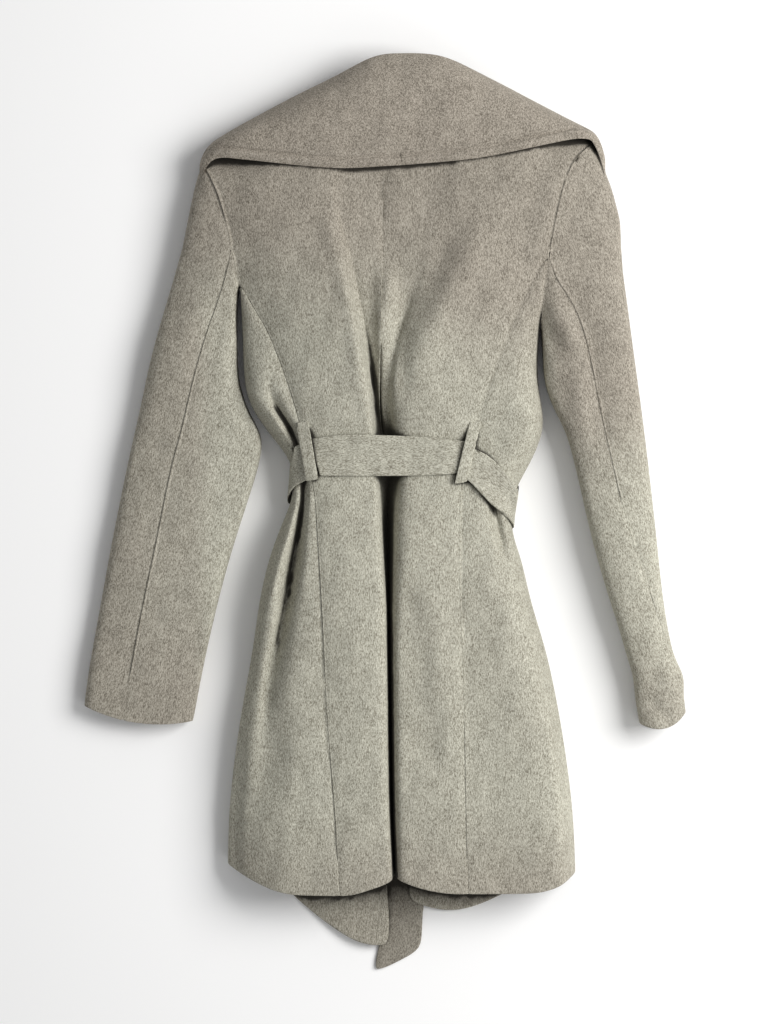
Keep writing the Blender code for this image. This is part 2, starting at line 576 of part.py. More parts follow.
def add_wall(name, outer, inner, quads, colour=WOOL, gap=SEAM_GAP):
    """Make one piece of cloth: two faces joined round the edge, drawn in a little all round."""
    used = sorted({i for quad in quads for i in quad})
    place = {old: new for new, old in enumerate(used)}
    outer = np.array([outer[i] for i in used], dtype=float)
    inner = np.array([inner[i] for i in used], dtype=float)
    quads = [[place[i] for i in quad] for quad in quads]
    count = len(used)
    first = [outer[i] for i in quads[0]]
    outwards = first[0] - inner[quads[0][0]]
    if np.dot(np.cross(first[2] - first[0], first[3] - first[1]), outwards) < 0:
        quads = [quad[::-1] for quad in quads]

    edges = {(quad[k], quad[(k + 1) % len(quad)]): quad for quad in quads for k in range(len(quad))}
    rim = [edge for edge in edges if (edge[1], edge[0]) not in edges]
    pull = {}
    for a, b in rim:
        quad = edges[(a, b)]
        corners = [outer[i] for i in quad]
        normal = unit(np.cross(corners[2] - corners[0], corners[-1] - corners[1]))
        inward = unit(np.cross(normal, unit(outer[b] - outer[a])))
        for i in (a, b):
            pull[i] = pull.get(i, np.zeros(3)) + inward
    for i, direction in pull.items():
        move = direction * gap / max(float(np.dot(direction, direction)), SHARPEST_CORNER)
        outer[i] += move
        inner[i] += move

    vertices = np.vstack([outer, inner]) * MM
    faces = []
    for a, b, c, d in quads:
        if math.dist(outer[a], outer[c]) <= math.dist(outer[b], outer[d]):
            faces += [(a, b, c), (a, c, d)]
        else:
            faces += [(a, b, d), (b, c, d)]
    faces += [tuple(i + count for i in reversed(face)) for face in faces]
    faces += [(b, a, a + count, b + count) for a, b in rim]
    mesh = bpy.data.meshes.new(name)
    mesh.from_pydata([tuple(v) for v in vertices], [], faces)
    mesh.update()
    mesh.shade_smooth()
    mesh.set_sharp_from_angle(angle=math.radians(SHARP_FROM))
    mesh.materials.append(wool("wool_collar" if colour is WOOL_SHADE else "wool", colour))
    piece = bpy.data.objects.new(name, mesh)
    bpy.context.collection.objects.link(piece)
    return piece


def grid_quads(rows, columns):
    """Faces of a grid of points stored row by row."""
    quads = []
    for r in range(rows - 1):
        for c in range(columns - 1):
            a = r * columns + c
            quads.append([a, a + columns, a + columns + 1, a + 1])
    return quads


def build_back():
    """Back and side panels, cut out of one shared grid on each side."""
    for side in ("left", "right"):
        columns = MIDDLE_COLUMN + 1
        rows = len(UPPER_ROWS) + len(SHARED_ROWS) + len(SKIRT_ROWS)
        heights = [body_rows(side, c) for c in range(columns)]
        outer = []
        inner = []
        for r in range(rows):
            for c in range(columns):
                y = heights[c][r]
                point = body_point(side, c, y)
                outer.append(point)
                inner.append(point - CLOTH * body_normal(side, c, y))
        back = []
        side_back = []
        pit_row = PIT_ROW_LEFT if side == "left" else PIT_ROW_RIGHT
        side_row = PIT_ROW_LEFT if side == "left" else PRINCESS_ROW_RIGHT
        for r in range(rows - 1):
            for c in range(columns - 1):
                a = r * columns + c
                quad = [a, a + columns, a + columns + 1, a + 1]
                if c >= PRINCESS_COLUMN:
                    back.append(quad)
                elif r >= pit_row or (r >= side_row and c >= EDGE_COLUMN):
                    side_back.append(quad)
        add_wall("back_" + side, outer, inner, back)
        add_wall("side_back_" + side, outer, inner, side_back)


FRONT_STEPS = (0.0, 0.06, 0.2, 0.4, 0.6, 0.8, 1.0)
FRONT_ROWS_ABOVE = (0.0, 0.015, 0.05, 0.11, 0.19, 0.29, 0.4, 0.52, 0.64, 0.76, 0.88)
FRONT_TOP_ROUND = 16.0
TAILS_MIDDLE = 45.0  # the belt's hanging ends lie under the fronts this far each side of here
TAILS_REACH = 72.0
TAILS_EASE = 55.0  # and come down to the surface over this width
OVERLAP_BETWEEN = (-130.0, -66.0)  # the inner front climbs here, measured from the outer one's loose edge
FRONT_TURN = 12.0  # a front comes up to its outer seam over this width
FRONT_HEM_BLEND = 0.2  # its bottom edge leaves the back's over this share of its width
FRONT_PROBE = 0.02  # shares of its width between which its slope is measured


def front_floor(side, x, y):
    """How far a front lies off the surface, over the belt, its ends and the other front."""
    near_tail = 1 - smooth_step(abs(x - TAILS_MIDDLE), TAILS_REACH, TAILS_REACH + TAILS_EASE)
    floor = LIFT * max(smooth_step(y, LIFT_ENDS_AT, LIFT_KEPT_TO), near_tail)
    if side == "left":
        floor += OVERLAP_LIFT * smooth_step(x - front_right_edge(y)[0], *OVERLAP_BETWEEN)
    return floor


def front_outer_line(side, y):
    """The front's outer side: the armhole, then the side seam."""
    armpit = ARMPIT_LEFT if side == "left" else ARMPIT_RIGHT
    if y > armpit + CLOSE:
        x = (armhole_left if side == "left" else armhole_right)(y)[0]
        return x, armhole_height(side, y, True)
    return side_seam(side, y), side_floor(y)


def front_point(side, s, y):
    """A point of a front's outer face, s of the way from its outer seam to its loose edge."""
    outer_x, outer_z = front_outer_line(side, y)
    loose_x = (front_left_edge if side == "left" else front_right_edge)(y)[0]
    x = outer_x + (loose_x - outer_x) * s
    floor = front_floor(side, x, y)
    z = floor + (outer_z - floor) * max(0.0, 1 - abs(x - outer_x) / FRONT_TURN) ** 2
    top_y, top_z = top_edge(side, PRINCESS_COLUMN + s * (LIP_COLUMN - PRINCESS_COLUMN))
    inside = min(1.0, max(0.0, (top_y - y) / FRONT_TOP_ROUND))
    if s > CLOSE:
        z = top_z - (top_z - z) * math.sqrt(1 - (1 - inside) ** 2)
    return np.array((x, y, z))


def build_front(side):
    """One wrap front, flat under the back."""
    armpit = ARMPIT_LEFT if side == "left" else ARMPIT_RIGHT
    hem_at = front_left_hem if side == "left" else front_right_hem
    outer = []
    inner = []
    for s in FRONT_STEPS:
        top_y = top_edge(side, PRINCESS_COLUMN + s * (LIP_COLUMN - PRINCESS_COLUMN))[0]
        side_hem = body_rows(side, SEAM_COLUMN)[-1]
        own_hem = hem_at(front_point(side, s, FRONT_HEM_READ_AT)[0])[0]
        hem = side_hem + (own_hem - side_hem) * smooth_step(s, 0, FRONT_HEM_BLEND)
        rows = [top_y + (armpit - top_y) * r for r in FRONT_ROWS_ABOVE]
        rows += [y for y in SHARED_ROWS if y <= armpit]
        rows += [SHARED_ROWS[-1] + (hem - SHARED_ROWS[-1]) * r for r in SKIRT_ROWS]
        for y in rows:
            point = front_point(side, s, y)
            across = front_point(side, min(s + FRONT_PROBE, 1), y)
            across = across - front_point(side, max(s - FRONT_PROBE, 0), y)
            highest = top_y if y > armpit else armpit
            along = front_point(side, s, min(y + 1, highest)) - front_point(side, s, y - 1)
            normal = unit(np.cross(along, across))
            if side == "right":
                normal = -normal
            if s == 0:
                if y > armpit:
                    normal = along_armhole(side, y, normal)
                else:
                    normal = square_to_seam(lambda at: side_seam(side, at), y, normal)
            if y > top_y - CLOSE:
                normal = unit(normal * (1, 1, 0))
            outer.append(point)
            inner.append(point - CLOTH * normal)
    add_wall("front_" + side, outer, inner, grid_quads(len(FRONT_STEPS), len(rows)))


UPPER_STEPS = 9
UNDER_STEPS = 11
SLEEVE_SEAM_GAP = 0.8
SLEEVE_EDGE_SHARE = 0.45  # a sleeve's folded edges lie at this share of its height
ANGLE_PROBE = 0.04  # how far to each side its slope is measured, round it and along it
ROW_PROBE = 0.1


def sleeve_point(side, row, angle):
    """A point of the sleeve's outer face. The angle is 0 at the outer edge and turns over the top."""
    table = SLEEVE_LEFT if side == "left" else SLEEVE_RIGHT
    low = int(min(max(math.floor(row), 0), len(table) - 2))
    part = row - low
    ring = np.array(table[low]) * (1 - part) + np.array(table[low + 1]) * part
    outer = ring[0:2]
    inner = ring[2:4]
    height, floor, bow = ring[-3:]
    across = (1 - math.cos(angle)) / 2
    chord = inner - outer
    to_cuff = unit(np.array((chord[1], -chord[0])) if side == "left" else np.array((-chord[1], chord[0])))
    place = outer + chord * across + to_cuff * bow * math.sin(angle) ** 2
    hole = armhole_left if side == "left" else armhole_right
    first = table[0]
    hole_y = first[1] + (first[3] - first[1]) * across
    off_chord = hole(hole_y)[0] - (first[0] + (first[2] - first[0]) * across)
    place[0] += off_chord * max(0.0, 1 - row / 3.0)
    if row < 1:
        place += to_cuff * ARMHOLE_GAP * (1 - row)
    shoulder = SHOULDER_HEIGHT_LEFT if side == "left" else SHOULDER_HEIGHT_RIGHT
    middle = shoulder + (SLEEVE_EDGE_SHARE * height - shoulder) * min(1.0, row / 2.0)
    z = ring_height(across, height, floor, middle, math.sin(angle) < 0)
    return np.array((place[0], place[1], z))


def build_sleeve(side):
    """A two-piece sleeve, flattened, open at the cuff and at the armhole."""
    table = SLEEVE_LEFT if side == "left" else SLEEVE_RIGHT
    rows = len(table)
    for name, steps in (("upper", UPPER_STEPS), ("under", UNDER_STEPS)):
        outer = []
        inner = []
        for row in range(rows):
            seam = math.acos(1 - 2 * table[row][4])
            under_seam = 2 * math.pi - math.acos(1 - 2 * SLEEVE_UNDER_SEAM)
            start, end = (under_seam - 2 * math.pi, seam) if name == "upper" else (seam, under_seam)
            for k in range(steps + 1):
                angle = start + (end - start) * k / steps
                point = sleeve_point(side, row, angle)
                around = sleeve_point(side, row, angle + ANGLE_PROBE)
                around = around - sleeve_point(side, row, angle - ANGLE_PROBE)
                along = sleeve_point(side, min(row + ROW_PROBE, rows - 1), angle)
                along = along - sleeve_point(side, max(row - ROW_PROBE, 0), angle)
                normal = unit(np.cross(along, around))
                if side == "right":
                    normal = -normal
                if row == 0:
                    normal = along_armhole(side, point[1], normal)
                outer.append(point)
                inner.append(point - CLOTH * normal)
        quads = grid_quads(rows, steps + 1)
        add_wall("sleeve_%s_%s" % (side, name), outer, inner, quads, gap=SLEEVE_SEAM_GAP)


# The collar's curve across, in four stretches one after the other. The first number of each pair is the
# share of the stretch's width, the second the share of its height.
COLLAR_FALL = ((0.0, 0.0), (0.18, 0.55), (0.42, 1.0))  # up from the loose edge, from free_z to crown
COLLAR_ROLL = ((0.36, 0.04), (0.18, 0.22), (0.07, 0.52), (0.01, 0.84), (0.0, 1.0))  # left to the top
COLLAR_NOSE = ((0.14, 0.45), (0.50, 0.85), (1.0, 1.0))  # back in from the top, down to low
COLLAR_UNDER = ((0.55, 0.35), (1.0, 1.0))  # on underneath to the neck seam
NOSE_SHARE = 0.32  # the nose takes up no more of the collar's width than this


def collar_profile(x):
    """The collar's outer face at one place across: (y, z) from the loose edge over the roll and under."""
    top, free, free_z, crown, fold, under, end = collar_at(x)
    length = top - free
    nose = min(ROLL_NOSE, NOSE_SHARE * length)
    low = min(end, fold - ROLL_DEPTH)
    points = [(free + a * length, free_z + b * (crown - free_z)) for a, b in COLLAR_FALL]
    points += [(top - a * length, crown + b * (fold - crown)) for a, b in COLLAR_ROLL]
    points += [(top - a * nose, fold + b * (low - fold)) for a, b in COLLAR_NOSE]
    points += [(top - nose - a * (under - nose), low + b * (end - low)) for a, b in COLLAR_UNDER]
    return points


def build_collar(name, places):
    """Half of the collar where it lies over the back."""
    outer = []
    inner = []
    for x in places:
        profile = collar_profile(x)
        for k, (y, z) in enumerate(profile):
            low = profile[max(k - 1, 0)]
            high = profile[min(k + 1, len(profile) - 1)]
            normal = unit(np.array((0, low[1] - high[1], high[0] - low[0])))
            point = np.array((x, y, z))
            outer.append(point)
            inner.append(point - COLLAR_CLOTH * normal)
    add_wall(name, outer, inner, grid_quads(len(places), len(profile)), WOOL_SHADE)


LAPEL_STEPS = (0.0, 0.35, 0.7, 1.0)


def build_lapel(side):
    """The collar carried on down one front, flat underneath it."""
    table = LAPEL_LEFT if side == "left" else LAPEL_RIGHT
    outer = []
    for free_x, free_y, roll_x, roll_y in table:
        for s in LAPEL_STEPS:
            outer.append(np.array((free_x + (roll_x - free_x) * s, free_y + (roll_y - free_y) * s, 0.0)))
    inner = [point + np.array((0, 0, LAPEL_CLOTH)) for point in outer]
    add_wall("lapel_" + side, outer, inner, grid_quads(len(table), len(LAPEL_STEPS)), WOOL_SHADE)


def back_top(x, y, bridge=False):
    """Height of the back's outer face above a place, or of the straight bridge over the middle valley."""
    points = [body_point("left", c, y) for c in range(EDGE_COLUMN, MIDDLE_COLUMN + 1)]
    points += [body_point("right", c, y) for c in range(MIDDLE_COLUMN - 1, EDGE_COLUMN - 1, -1)]
    if bridge:
        lip_left = body_point("left", LIP_COLUMN, y)[0]
        lip_right = body_point("right", LIP_COLUMN, y)[0]
        points = [p for p in points if not lip_left + CLOSE < p[0] < lip_right - CLOSE]
    points.sort(key=lambda p: p[0])
    return float(np.interp(x, [p[0] for p in points], [p[2] for p in points]))


def add_strip(name, rows, thickness, gap=0.0):
    """A strip from rows of (point of its inner face, outward direction)."""
    inner = [np.array(p) for row in rows for p, n in row]
    outer = [np.array(p) + thickness * np.array(n) for row in rows for p, n in row]
    add_wall(name, outer, inner, grid_quads(len(rows), len(rows[0])), gap=gap)


BELT_STEPS = (1.0, 0.75, 0.5, 0.25, 0.0)
BELT_BACK_LEFT = (-71.0, -84.5)  # where its left end is at the bottom edge and at the top edge
BELT_BACK_RIGHT = (82.0, 96.0)
BELT_SIDE_LEFT_START = (-73.0, -86.5)
BELT_SIDE_RIGHT_START = (84.0, 98.0)
BELT_BACK_STEPS = 14
BELT_SIDE_STEPS = 18
START_SPREAD = 16.0
BAND_SPREAD = 6.0  # the band clears what lies this far above and below each of its points


def build_belt_back():
    """The stretch across the back, straight over the middle valley."""
    rows = []
    for k in range(BELT_BACK_STEPS + 1):
        row = []
        for w in BELT_STEPS[::-1]:
            left = BELT_BACK_LEFT[0] + (BELT_BACK_LEFT[1] - BELT_BACK_LEFT[0]) * w
            right = BELT_BACK_RIGHT[0] + (BELT_BACK_RIGHT[1] - BELT_BACK_RIGHT[0]) * w
            x = left + (right - left) * k / BELT_BACK_STEPS
            top, bottom = belt_back_at(x)
            y = bottom + (top - bottom) * w
            z = max(back_top(x, y, True), back_top(x, BELT_MIDDLE, True) - 0.5) + LAYER_GAP
            row.append(((x, y, z), (0, 0, 1)))
        rows.append(row)
    add_strip("belt_back", [row[::-1] for row in rows], BELT_CLOTH)


HULL_STEPS = 40


def taut_line(side, y, start):
    """The line that a taut band takes round one side: from the side seam underneath to its start on top."""
    mirror = 1.0 if side == "left" else -1.0
    points = []
    for shift in (-BAND_SPREAD, 0.0, BAND_SPREAD):
        points += [(mirror * x, z) for x, z in half_section(side, y + shift)[:LIP_COLUMN]]
    inside = [p for p in points if p[0] <= start]
    seam = (mirror * half_section(side, y)[SEAM_COLUMN][0], side_floor(y))
    line = [seam]
    for k in range(1, HULL_STEPS):
        angle = -math.pi / 2 - math.pi * k / HULL_STEPS
        best = max(inside, key=lambda p: p[0] * math.cos(angle) + p[1] * math.sin(angle))
        if best != line[-1]:
            line.append(best)
    near = [p for p in points if abs(p[0] - start) < START_SPREAD]
    line.append((start, max(p[1] for p in near)))
    return line


def build_belt_side(side):
    """The stretch from a loop round the side to the seam underneath, pulled straight over the folds."""
    middle_at = belt_side_left_at if side == "left" else belt_side_right_at
    ends = BELT_SIDE_LEFT_START if side == "left" else BELT_SIDE_RIGHT_START
    mirror = 1.0 if side == "left" else -1.0
    rows = []
    for k in range(BELT_SIDE_STEPS + 1):
        t = k / BELT_SIDE_STEPS
        row = []
        for w in BELT_STEPS:
            middle, width = middle_at(t)
            y = middle + width * (w - 0.5)
            start = mirror * (ends[0] + (ends[1] - ends[0]) * w)
            hull = taut_line(side, y, start)
            lengths = np.cumsum([0.0] + [math.dist(a, b) for a, b in zip(hull, hull[1:])])
            at = lengths[-1] * (1 - t)
            i = min(max(int(np.searchsorted(lengths, at)) - 1, 0), len(hull) - 2)
            part = (at - lengths[i]) / (lengths[i + 1] - lengths[i])
            x = hull[i][0] + (hull[i + 1][0] - hull[i][0]) * part
            z = hull[i][1] + (hull[i + 1][1] - hull[i][1]) * part
            row.append((x, y, z))
        rows.append(row)
    strip = []
    for k, row in enumerate(rows):
        line = []
        for j, (x, y, z) in enumerate(row):
            before = rows[max(k - 1, 0)][j]
            after = rows[min(k + 1, BELT_SIDE_STEPS)][j]
            normal = unit(np.array((after[2] - before[2], 0.0, before[0] - after[0])))
            flatness = max(0.0, -normal[2]) ** 4
            clearance = ROUND_CLEARANCE + (FLAT_CLEARANCE - ROUND_CLEARANCE) * flatness
            point = np.array((x, y, z)) + clearance * normal
            line.append((point * (mirror, 1, 1), normal * (mirror, 1, 1)))
        strip.append(line)
    add_strip("belt_side_" + side, strip, BELT_CLOTH)


def flat_piece(name, outline_rows, thickness=BELT_CLOTH):
    """A flat strip on the surface, from rows of its two edges."""
    outer = []
    for (ax, ay), (bx, by) in outline_rows:
        outer.append(np.array((ax, ay, 0.0)))
        outer.append(np.array(((ax + bx) / 2, (ay + by) / 2, 0.0)))
        outer.append(np.array((bx, by, 0.0)))
    inner = [p + np.array((0, 0, thickness)) for p in outer]
    add_wall(name, outer, inner, grid_quads(len(outline_rows), 3), gap=FLAT_SEAM_GAP)


BELT_PARTS = (-1.0, -0.5, 0.0, 0.5, 1.0)
FLAT_SEAM_GAP = 0.3


def build_belt_front():
    """The belt underneath: two stretches, the knot between them and the two hanging ends."""
    half = BELT_WIDTH / 2
    left_y = belt_side_left_at(1)[0]
    right_y = belt_side_right_at(1)[0]
    knot_left = KNOT_X - KNOT_HALF_WIDTH
    knot_right = KNOT_X + KNOT_HALF_WIDTH
    left_x = max(side_seam("left", left_y + part * half) for part in BELT_PARTS) + SEAM_GAP
    right_x = min(side_seam("right", right_y + part * half) for part in BELT_PARTS) - SEAM_GAP
    flat_piece("belt_front_left", [
        ((left_x, left_y + half), (left_x, left_y - half)),
        ((knot_left, KNOT_Y + half), (knot_left, KNOT_Y - half)),
    ])
    flat_piece("belt_front_right", [
        ((knot_right, KNOT_Y + half), (knot_right, KNOT_Y - half)),
        ((right_x, right_y + half), (right_x, right_y - half)),
    ])
    knot_top = KNOT_Y + half + KNOT_OVER
    knot_bottom = KNOT_Y - half - KNOT_OVER
    flat_piece("belt_knot", [
        ((knot_left, knot_top), (knot_left, knot_bottom)),
        ((KNOT_X, knot_top + KNOT_OVER), (KNOT_X, knot_bottom)),
        ((knot_right, knot_top), (knot_right, knot_bottom)),
    ])
    start_left = (knot_left + TAIL_LONG_INSET[0], knot_bottom)
    start_right = (knot_right - TAIL_LONG_INSET[1], knot_bottom)
    flat_piece("belt_tail_long", [(start_left, start_right)] + [(row[:2], row[2:]) for row in TAIL_LONG])
    rows = []
    for shift, left_down, right_down in TAIL_SHORT:
        x = knot_right - TAIL_SHORT_INSET + shift
        rows.append(((x, knot_bottom - left_down), (x + BELT_WIDTH, knot_bottom - right_down)))
    flat_piece("belt_tail_short", rows)


# How far down the loop, and how much of its rise over the belt it has there.
LOOP_ARCH = (
    (0, 0), (0.12, 0.1), (0.24, 0.9), (0.36, 1), (0.52, 1), (0.7, 1), (0.86, 1), (0.95, 1), (1, 0.7),
)
LOOP_CLEARS = (-16.0, -8.0, 0.0, 8.0, 16.0)  # the loop is higher than the back this far to each side
LOOP_RISE = 2.0
LOOP_SLANT = 0.17  # its ends are cut at this slope


def build_loop(name, ends):
    """A narrow loop of cloth over the belt, sewn to the back above and below it."""
    (top_x, top_y), (bottom_x, bottom_y) = ends
    rows = []
    for t, rise in LOOP_ARCH:
        x = top_x + (bottom_x - top_x) * t
        y = top_y + (bottom_y - top_y) * t
        row = []
        for w in (-1.0, 0.0, 1.0):
            across = x + w * LOOP_HALF_WIDTH
            sewn = max(back_top(across, y, True), back_top(x, y, True))
            near = [(across + dx, y + dy) for dx in LOOP_CLEARS for dy in (-BAND_SPREAD, 0, BAND_SPREAD)]
            over = max(back_top(near_x, near_y, True) for near_x, near_y in near) + BELT_CLOTH + LOOP_RISE
            z = sewn + LAYER_GAP + rise * (over - sewn)
            row.append(((across, y + w * LOOP_SLANT * LOOP_HALF_WIDTH, z), (0, 0, 1)))
        rows.append(row)
    add_strip(name, rows, LOOP_CLOTH)


build_back()
for side_name in ("left", "right"):
    build_front(side_name)
    build_sleeve(side_name)
    build_lapel(side_name)
    build_belt_side(side_name)
collar_places = [row[0] for row in COLLAR]
build_collar("collar_left", [x for x in collar_places if x < COLLAR_SPLIT - 2] + [COLLAR_SPLIT])
build_collar("collar_right", [COLLAR_SPLIT] + [x for x in collar_places if x > COLLAR_SPLIT + 2])
build_belt_back()
build_belt_front()
build_loop("belt_loop_left", LOOP_LEFT)
build_loop("belt_loop_right", LOOP_RIGHT)
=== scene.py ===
import bpy
import bmesh
import numpy as np
from math import radians
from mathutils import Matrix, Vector
from mathutils.bvhtree import BVHTree
from mathutils.kdtree import KDTree


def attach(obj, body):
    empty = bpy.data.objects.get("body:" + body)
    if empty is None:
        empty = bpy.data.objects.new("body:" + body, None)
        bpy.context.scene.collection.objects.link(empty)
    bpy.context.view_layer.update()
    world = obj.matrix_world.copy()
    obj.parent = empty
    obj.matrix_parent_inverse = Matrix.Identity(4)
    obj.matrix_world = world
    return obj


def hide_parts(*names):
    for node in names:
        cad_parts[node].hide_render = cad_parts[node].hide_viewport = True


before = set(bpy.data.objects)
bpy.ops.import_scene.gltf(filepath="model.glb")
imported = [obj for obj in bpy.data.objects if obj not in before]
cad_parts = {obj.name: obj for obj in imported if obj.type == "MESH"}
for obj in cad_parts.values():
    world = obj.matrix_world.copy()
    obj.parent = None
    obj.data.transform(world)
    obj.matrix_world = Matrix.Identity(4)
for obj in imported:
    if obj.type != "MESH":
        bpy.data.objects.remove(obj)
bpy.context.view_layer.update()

mm = 0.001
farAway = 9.0  # metres, more than anything here measures


def onlySelect(thing):
    bpy.ops.object.select_all(action="DESELECT")
    thing.select_set(True)
    bpy.context.view_layer.objects.active = thing


def readPoints(mesh):
    values = np.empty(len(mesh.vertices) * 3)
    mesh.vertices.foreach_get("co", values)
    return values.reshape(-1, 3)


def readNormals(mesh):
    values = np.empty(len(mesh.vertices) * 3)
    mesh.vertex_normals.foreach_get("vector", values)
    return values.reshape(-1, 3)


def writePoints(mesh, points):
    mesh.vertices.foreach_set("co", points.ravel())
    mesh.update()


def ease(values, low, high):
    t = np.clip((values - low) / (high - low), 0, 1)
    return t * t * (3 - 2 * t)


def offLine(points, line):
    # in plan, how far each point is to the right of a line of corners, and how far along it (0 to 1)
    corners = np.array(line, dtype=float) * mm
    steps = np.diff(corners, axis=0)
    lengths = np.hypot(steps[:, 0], steps[:, 1])
    total = lengths.sum()
    nearest = np.full(len(points), farAway)
    side = np.ones(len(points))
    along = np.zeros(len(points))
    passed = 0.0
    for start, step, length in zip(corners[:-1], steps, lengths):
        away = points[:, :2] - start
        share = np.clip((away @ step) / length ** 2, 0, 1)
        gap = away - share[:, None] * step
        distance = np.hypot(gap[:, 0], gap[:, 1])
        closer = distance < nearest
        nearest = np.where(closer, distance, nearest)
        side = np.where(closer, np.sign(away[:, 0] * step[1] - away[:, 1] * step[0]), side)
        along = np.where(closer, (passed + share * length) / total, along)
        passed += length
    return nearest * side, along


# the noises in the wool: size against the look's own fleck, turn in degrees, share in the grain
weave = {
    "fibre": {"size": (1, 1), "turn": 0, "detail": 3.0, "share": 0.40},
    "hair": {"size": (0.6, 0.55), "turn": 16, "detail": 2.0, "share": 0.24},
    "cross": {"size": (0.7, 0.5), "turn": -24, "detail": 2.0, "share": 0.20},
    "streak": {"size": (1.8, 3.6), "turn": 3, "detail": 2.0, "share": 0.10},
}
evenNoise = 0.5  # what a noise comes to on average


def woolCloth(look):
    cloth = bpy.data.materials.new(look["name"])
    cloth.use_nodes = True
    nodes, links = cloth.node_tree.nodes, cloth.node_tree.links
    nodes.clear()
    output = nodes.new("ShaderNodeOutputMaterial")
    shader = nodes.new("ShaderNodeBsdfPrincipled")
    links.new(shader.outputs[0], output.inputs["Surface"])
    shader.inputs["Roughness"].default_value = look["roughness"]
    shader.inputs["Specular IOR Level"].default_value = look["specular"]
    shader.inputs["Sheen Weight"].default_value = look["sheen"]
    shader.inputs["Sheen Roughness"].default_value = look["sheenRoughness"]
    shader.inputs["Sheen Tint"].default_value = (*look["light"], 1)

    place = nodes.new("ShaderNodeTexCoord")

    def fleck(across, along, detail, turn=0):
        # noise drawn out along the cloth's nap; sizes in millimetres
        stretch = nodes.new("ShaderNodeMapping")
        stretch.inputs["Rotation"].default_value = (0, 0, radians(look["turn"] + turn))
        spread = nodes.new("ShaderNodeMapping")
        spread.inputs["Scale"].default_value = (1 / across, 1 / along, 1 / across)
        noise = nodes.new("ShaderNodeTexNoise")
        noise.inputs["Scale"].default_value = 1 / mm
        noise.inputs["Detail"].default_value = detail
        noise.inputs["Roughness"].default_value = look["noiseRoughness"]
        links.new(place.outputs["Object"], stretch.inputs["Vector"])
        links.new(stretch.outputs["Vector"], spread.inputs["Vector"])
        links.new(spread.outputs["Vector"], noise.inputs["Vector"])
        return noise.outputs["Fac"]

    def ramp(value, low, high, dark, light):
        between = nodes.new("ShaderNodeMapRange")
        between.interpolation_type = "SMOOTHSTEP"
        between.inputs["From Min"].default_value = low
        between.inputs["From Max"].default_value = high
        between.inputs["To Min"].default_value = dark
        between.inputs["To Max"].default_value = light
        links.new(value, between.inputs["Value"])
        return between.outputs["Result"]

    def blendColour(share, one, two):
        mix = nodes.new("ShaderNodeMix")
        mix.data_type = "RGBA"
        sockets = [mix.inputs[0], mix.inputs[6], mix.inputs[7]]  # its share and its two colours
        for socket, value in zip(sockets, (share, one, two)):
            if isinstance(value, bpy.types.NodeSocket):
                links.new(value, socket)
            elif hasattr(value, "__len__"):
                socket.default_value = (*value, 1)
            else:
                socket.default_value = value
        return mix.outputs[2]

    def weigh(parts):
        # adds noises, each times its share
        total = None
        for value, share in parts:
            part = nodes.new("ShaderNodeMath")
            part.operation = "MULTIPLY_ADD"
            part.inputs[1].default_value = share
            links.new(value, part.inputs[0])
            if total is None:
                part.inputs[2].default_value = 0
            else:
                links.new(total, part.inputs[2])
            total = part.outputs[0]
        return total

    across, along = look["fleck"]
    strands = {}
    for name, strand in weave.items():
        wide, long = strand["size"]
        strands[name] = fleck(across * wide, along * long, strand["detail"], strand["turn"])
    patch = fleck(*look["patch"], look["patchDetail"])
    broad = fleck(*look["broad"], look["broadDetail"])
    shares = [(strands[name], strand["share"]) for name, strand in weave.items()]
    grain = weigh(shares + [(patch, look["patchShare"])])

    # painted shade: the shoulders, collar, sleeves and hem are darkened and warmed by the attribute read
    # here, on top of a broad random tone
    shadeAndWarmth = nodes.new("ShaderNodeAttribute")
    shadeAndWarmth.attribute_name = "shadedAndWarm"
    warmth = weigh([(broad, look["warming"]), (shadeAndWarmth.outputs["Fac"], 1)])
    warmShare = ramp(warmth, look["warmFrom"], look["warmTo"], 0, 1)
    light = blendColour(warmShare, look["light"], look["warmLight"])
    dark = blendColour(warmShare, look["dark"], look["warmDark"])
    lightShare = ramp(grain, evenNoise - look["evenness"], evenNoise + look["evenness"], 0, 1)
    colour = blendColour(lightShare, dark, light)
    hairs = ramp(strands["cross"], look["hairsFrom"], look["hairsTo"], 0, look["hairs"])
    colour = blendColour(hairs, colour, look["hairColour"])
    # painted shade: where the cloth sees less of the room above, down in folds and hollows, its colour is
    # darkened towards a near-black shade colour
    fold = nodes.new("ShaderNodeAttribute")
    fold.attribute_name = "openness"
    paintedFoldShade = ramp(fold.outputs["Fac"], look["foldFrom"], look["foldTo"], look["foldShade"], 0)
    colour = blendColour(paintedFoldShade, colour, look["foldShadeColour"])
    links.new(colour, shader.inputs["Base Color"])

    nap = nodes.new("ShaderNodeMath")
    nap.operation = "ADD"
    links.new(strands["fibre"], nap.inputs[0])
    links.new(strands["hair"], nap.inputs[1])
    bump = nodes.new("ShaderNodeBump")
    bump.inputs["Strength"].default_value = look["nap"]
    bump.inputs["Distance"].default_value = look["napHeight"] * mm
    links.new(nap.outputs[0], bump.inputs["Height"])
    links.new(bump.outputs["Normal"], shader.inputs["Normal"])
    return cloth


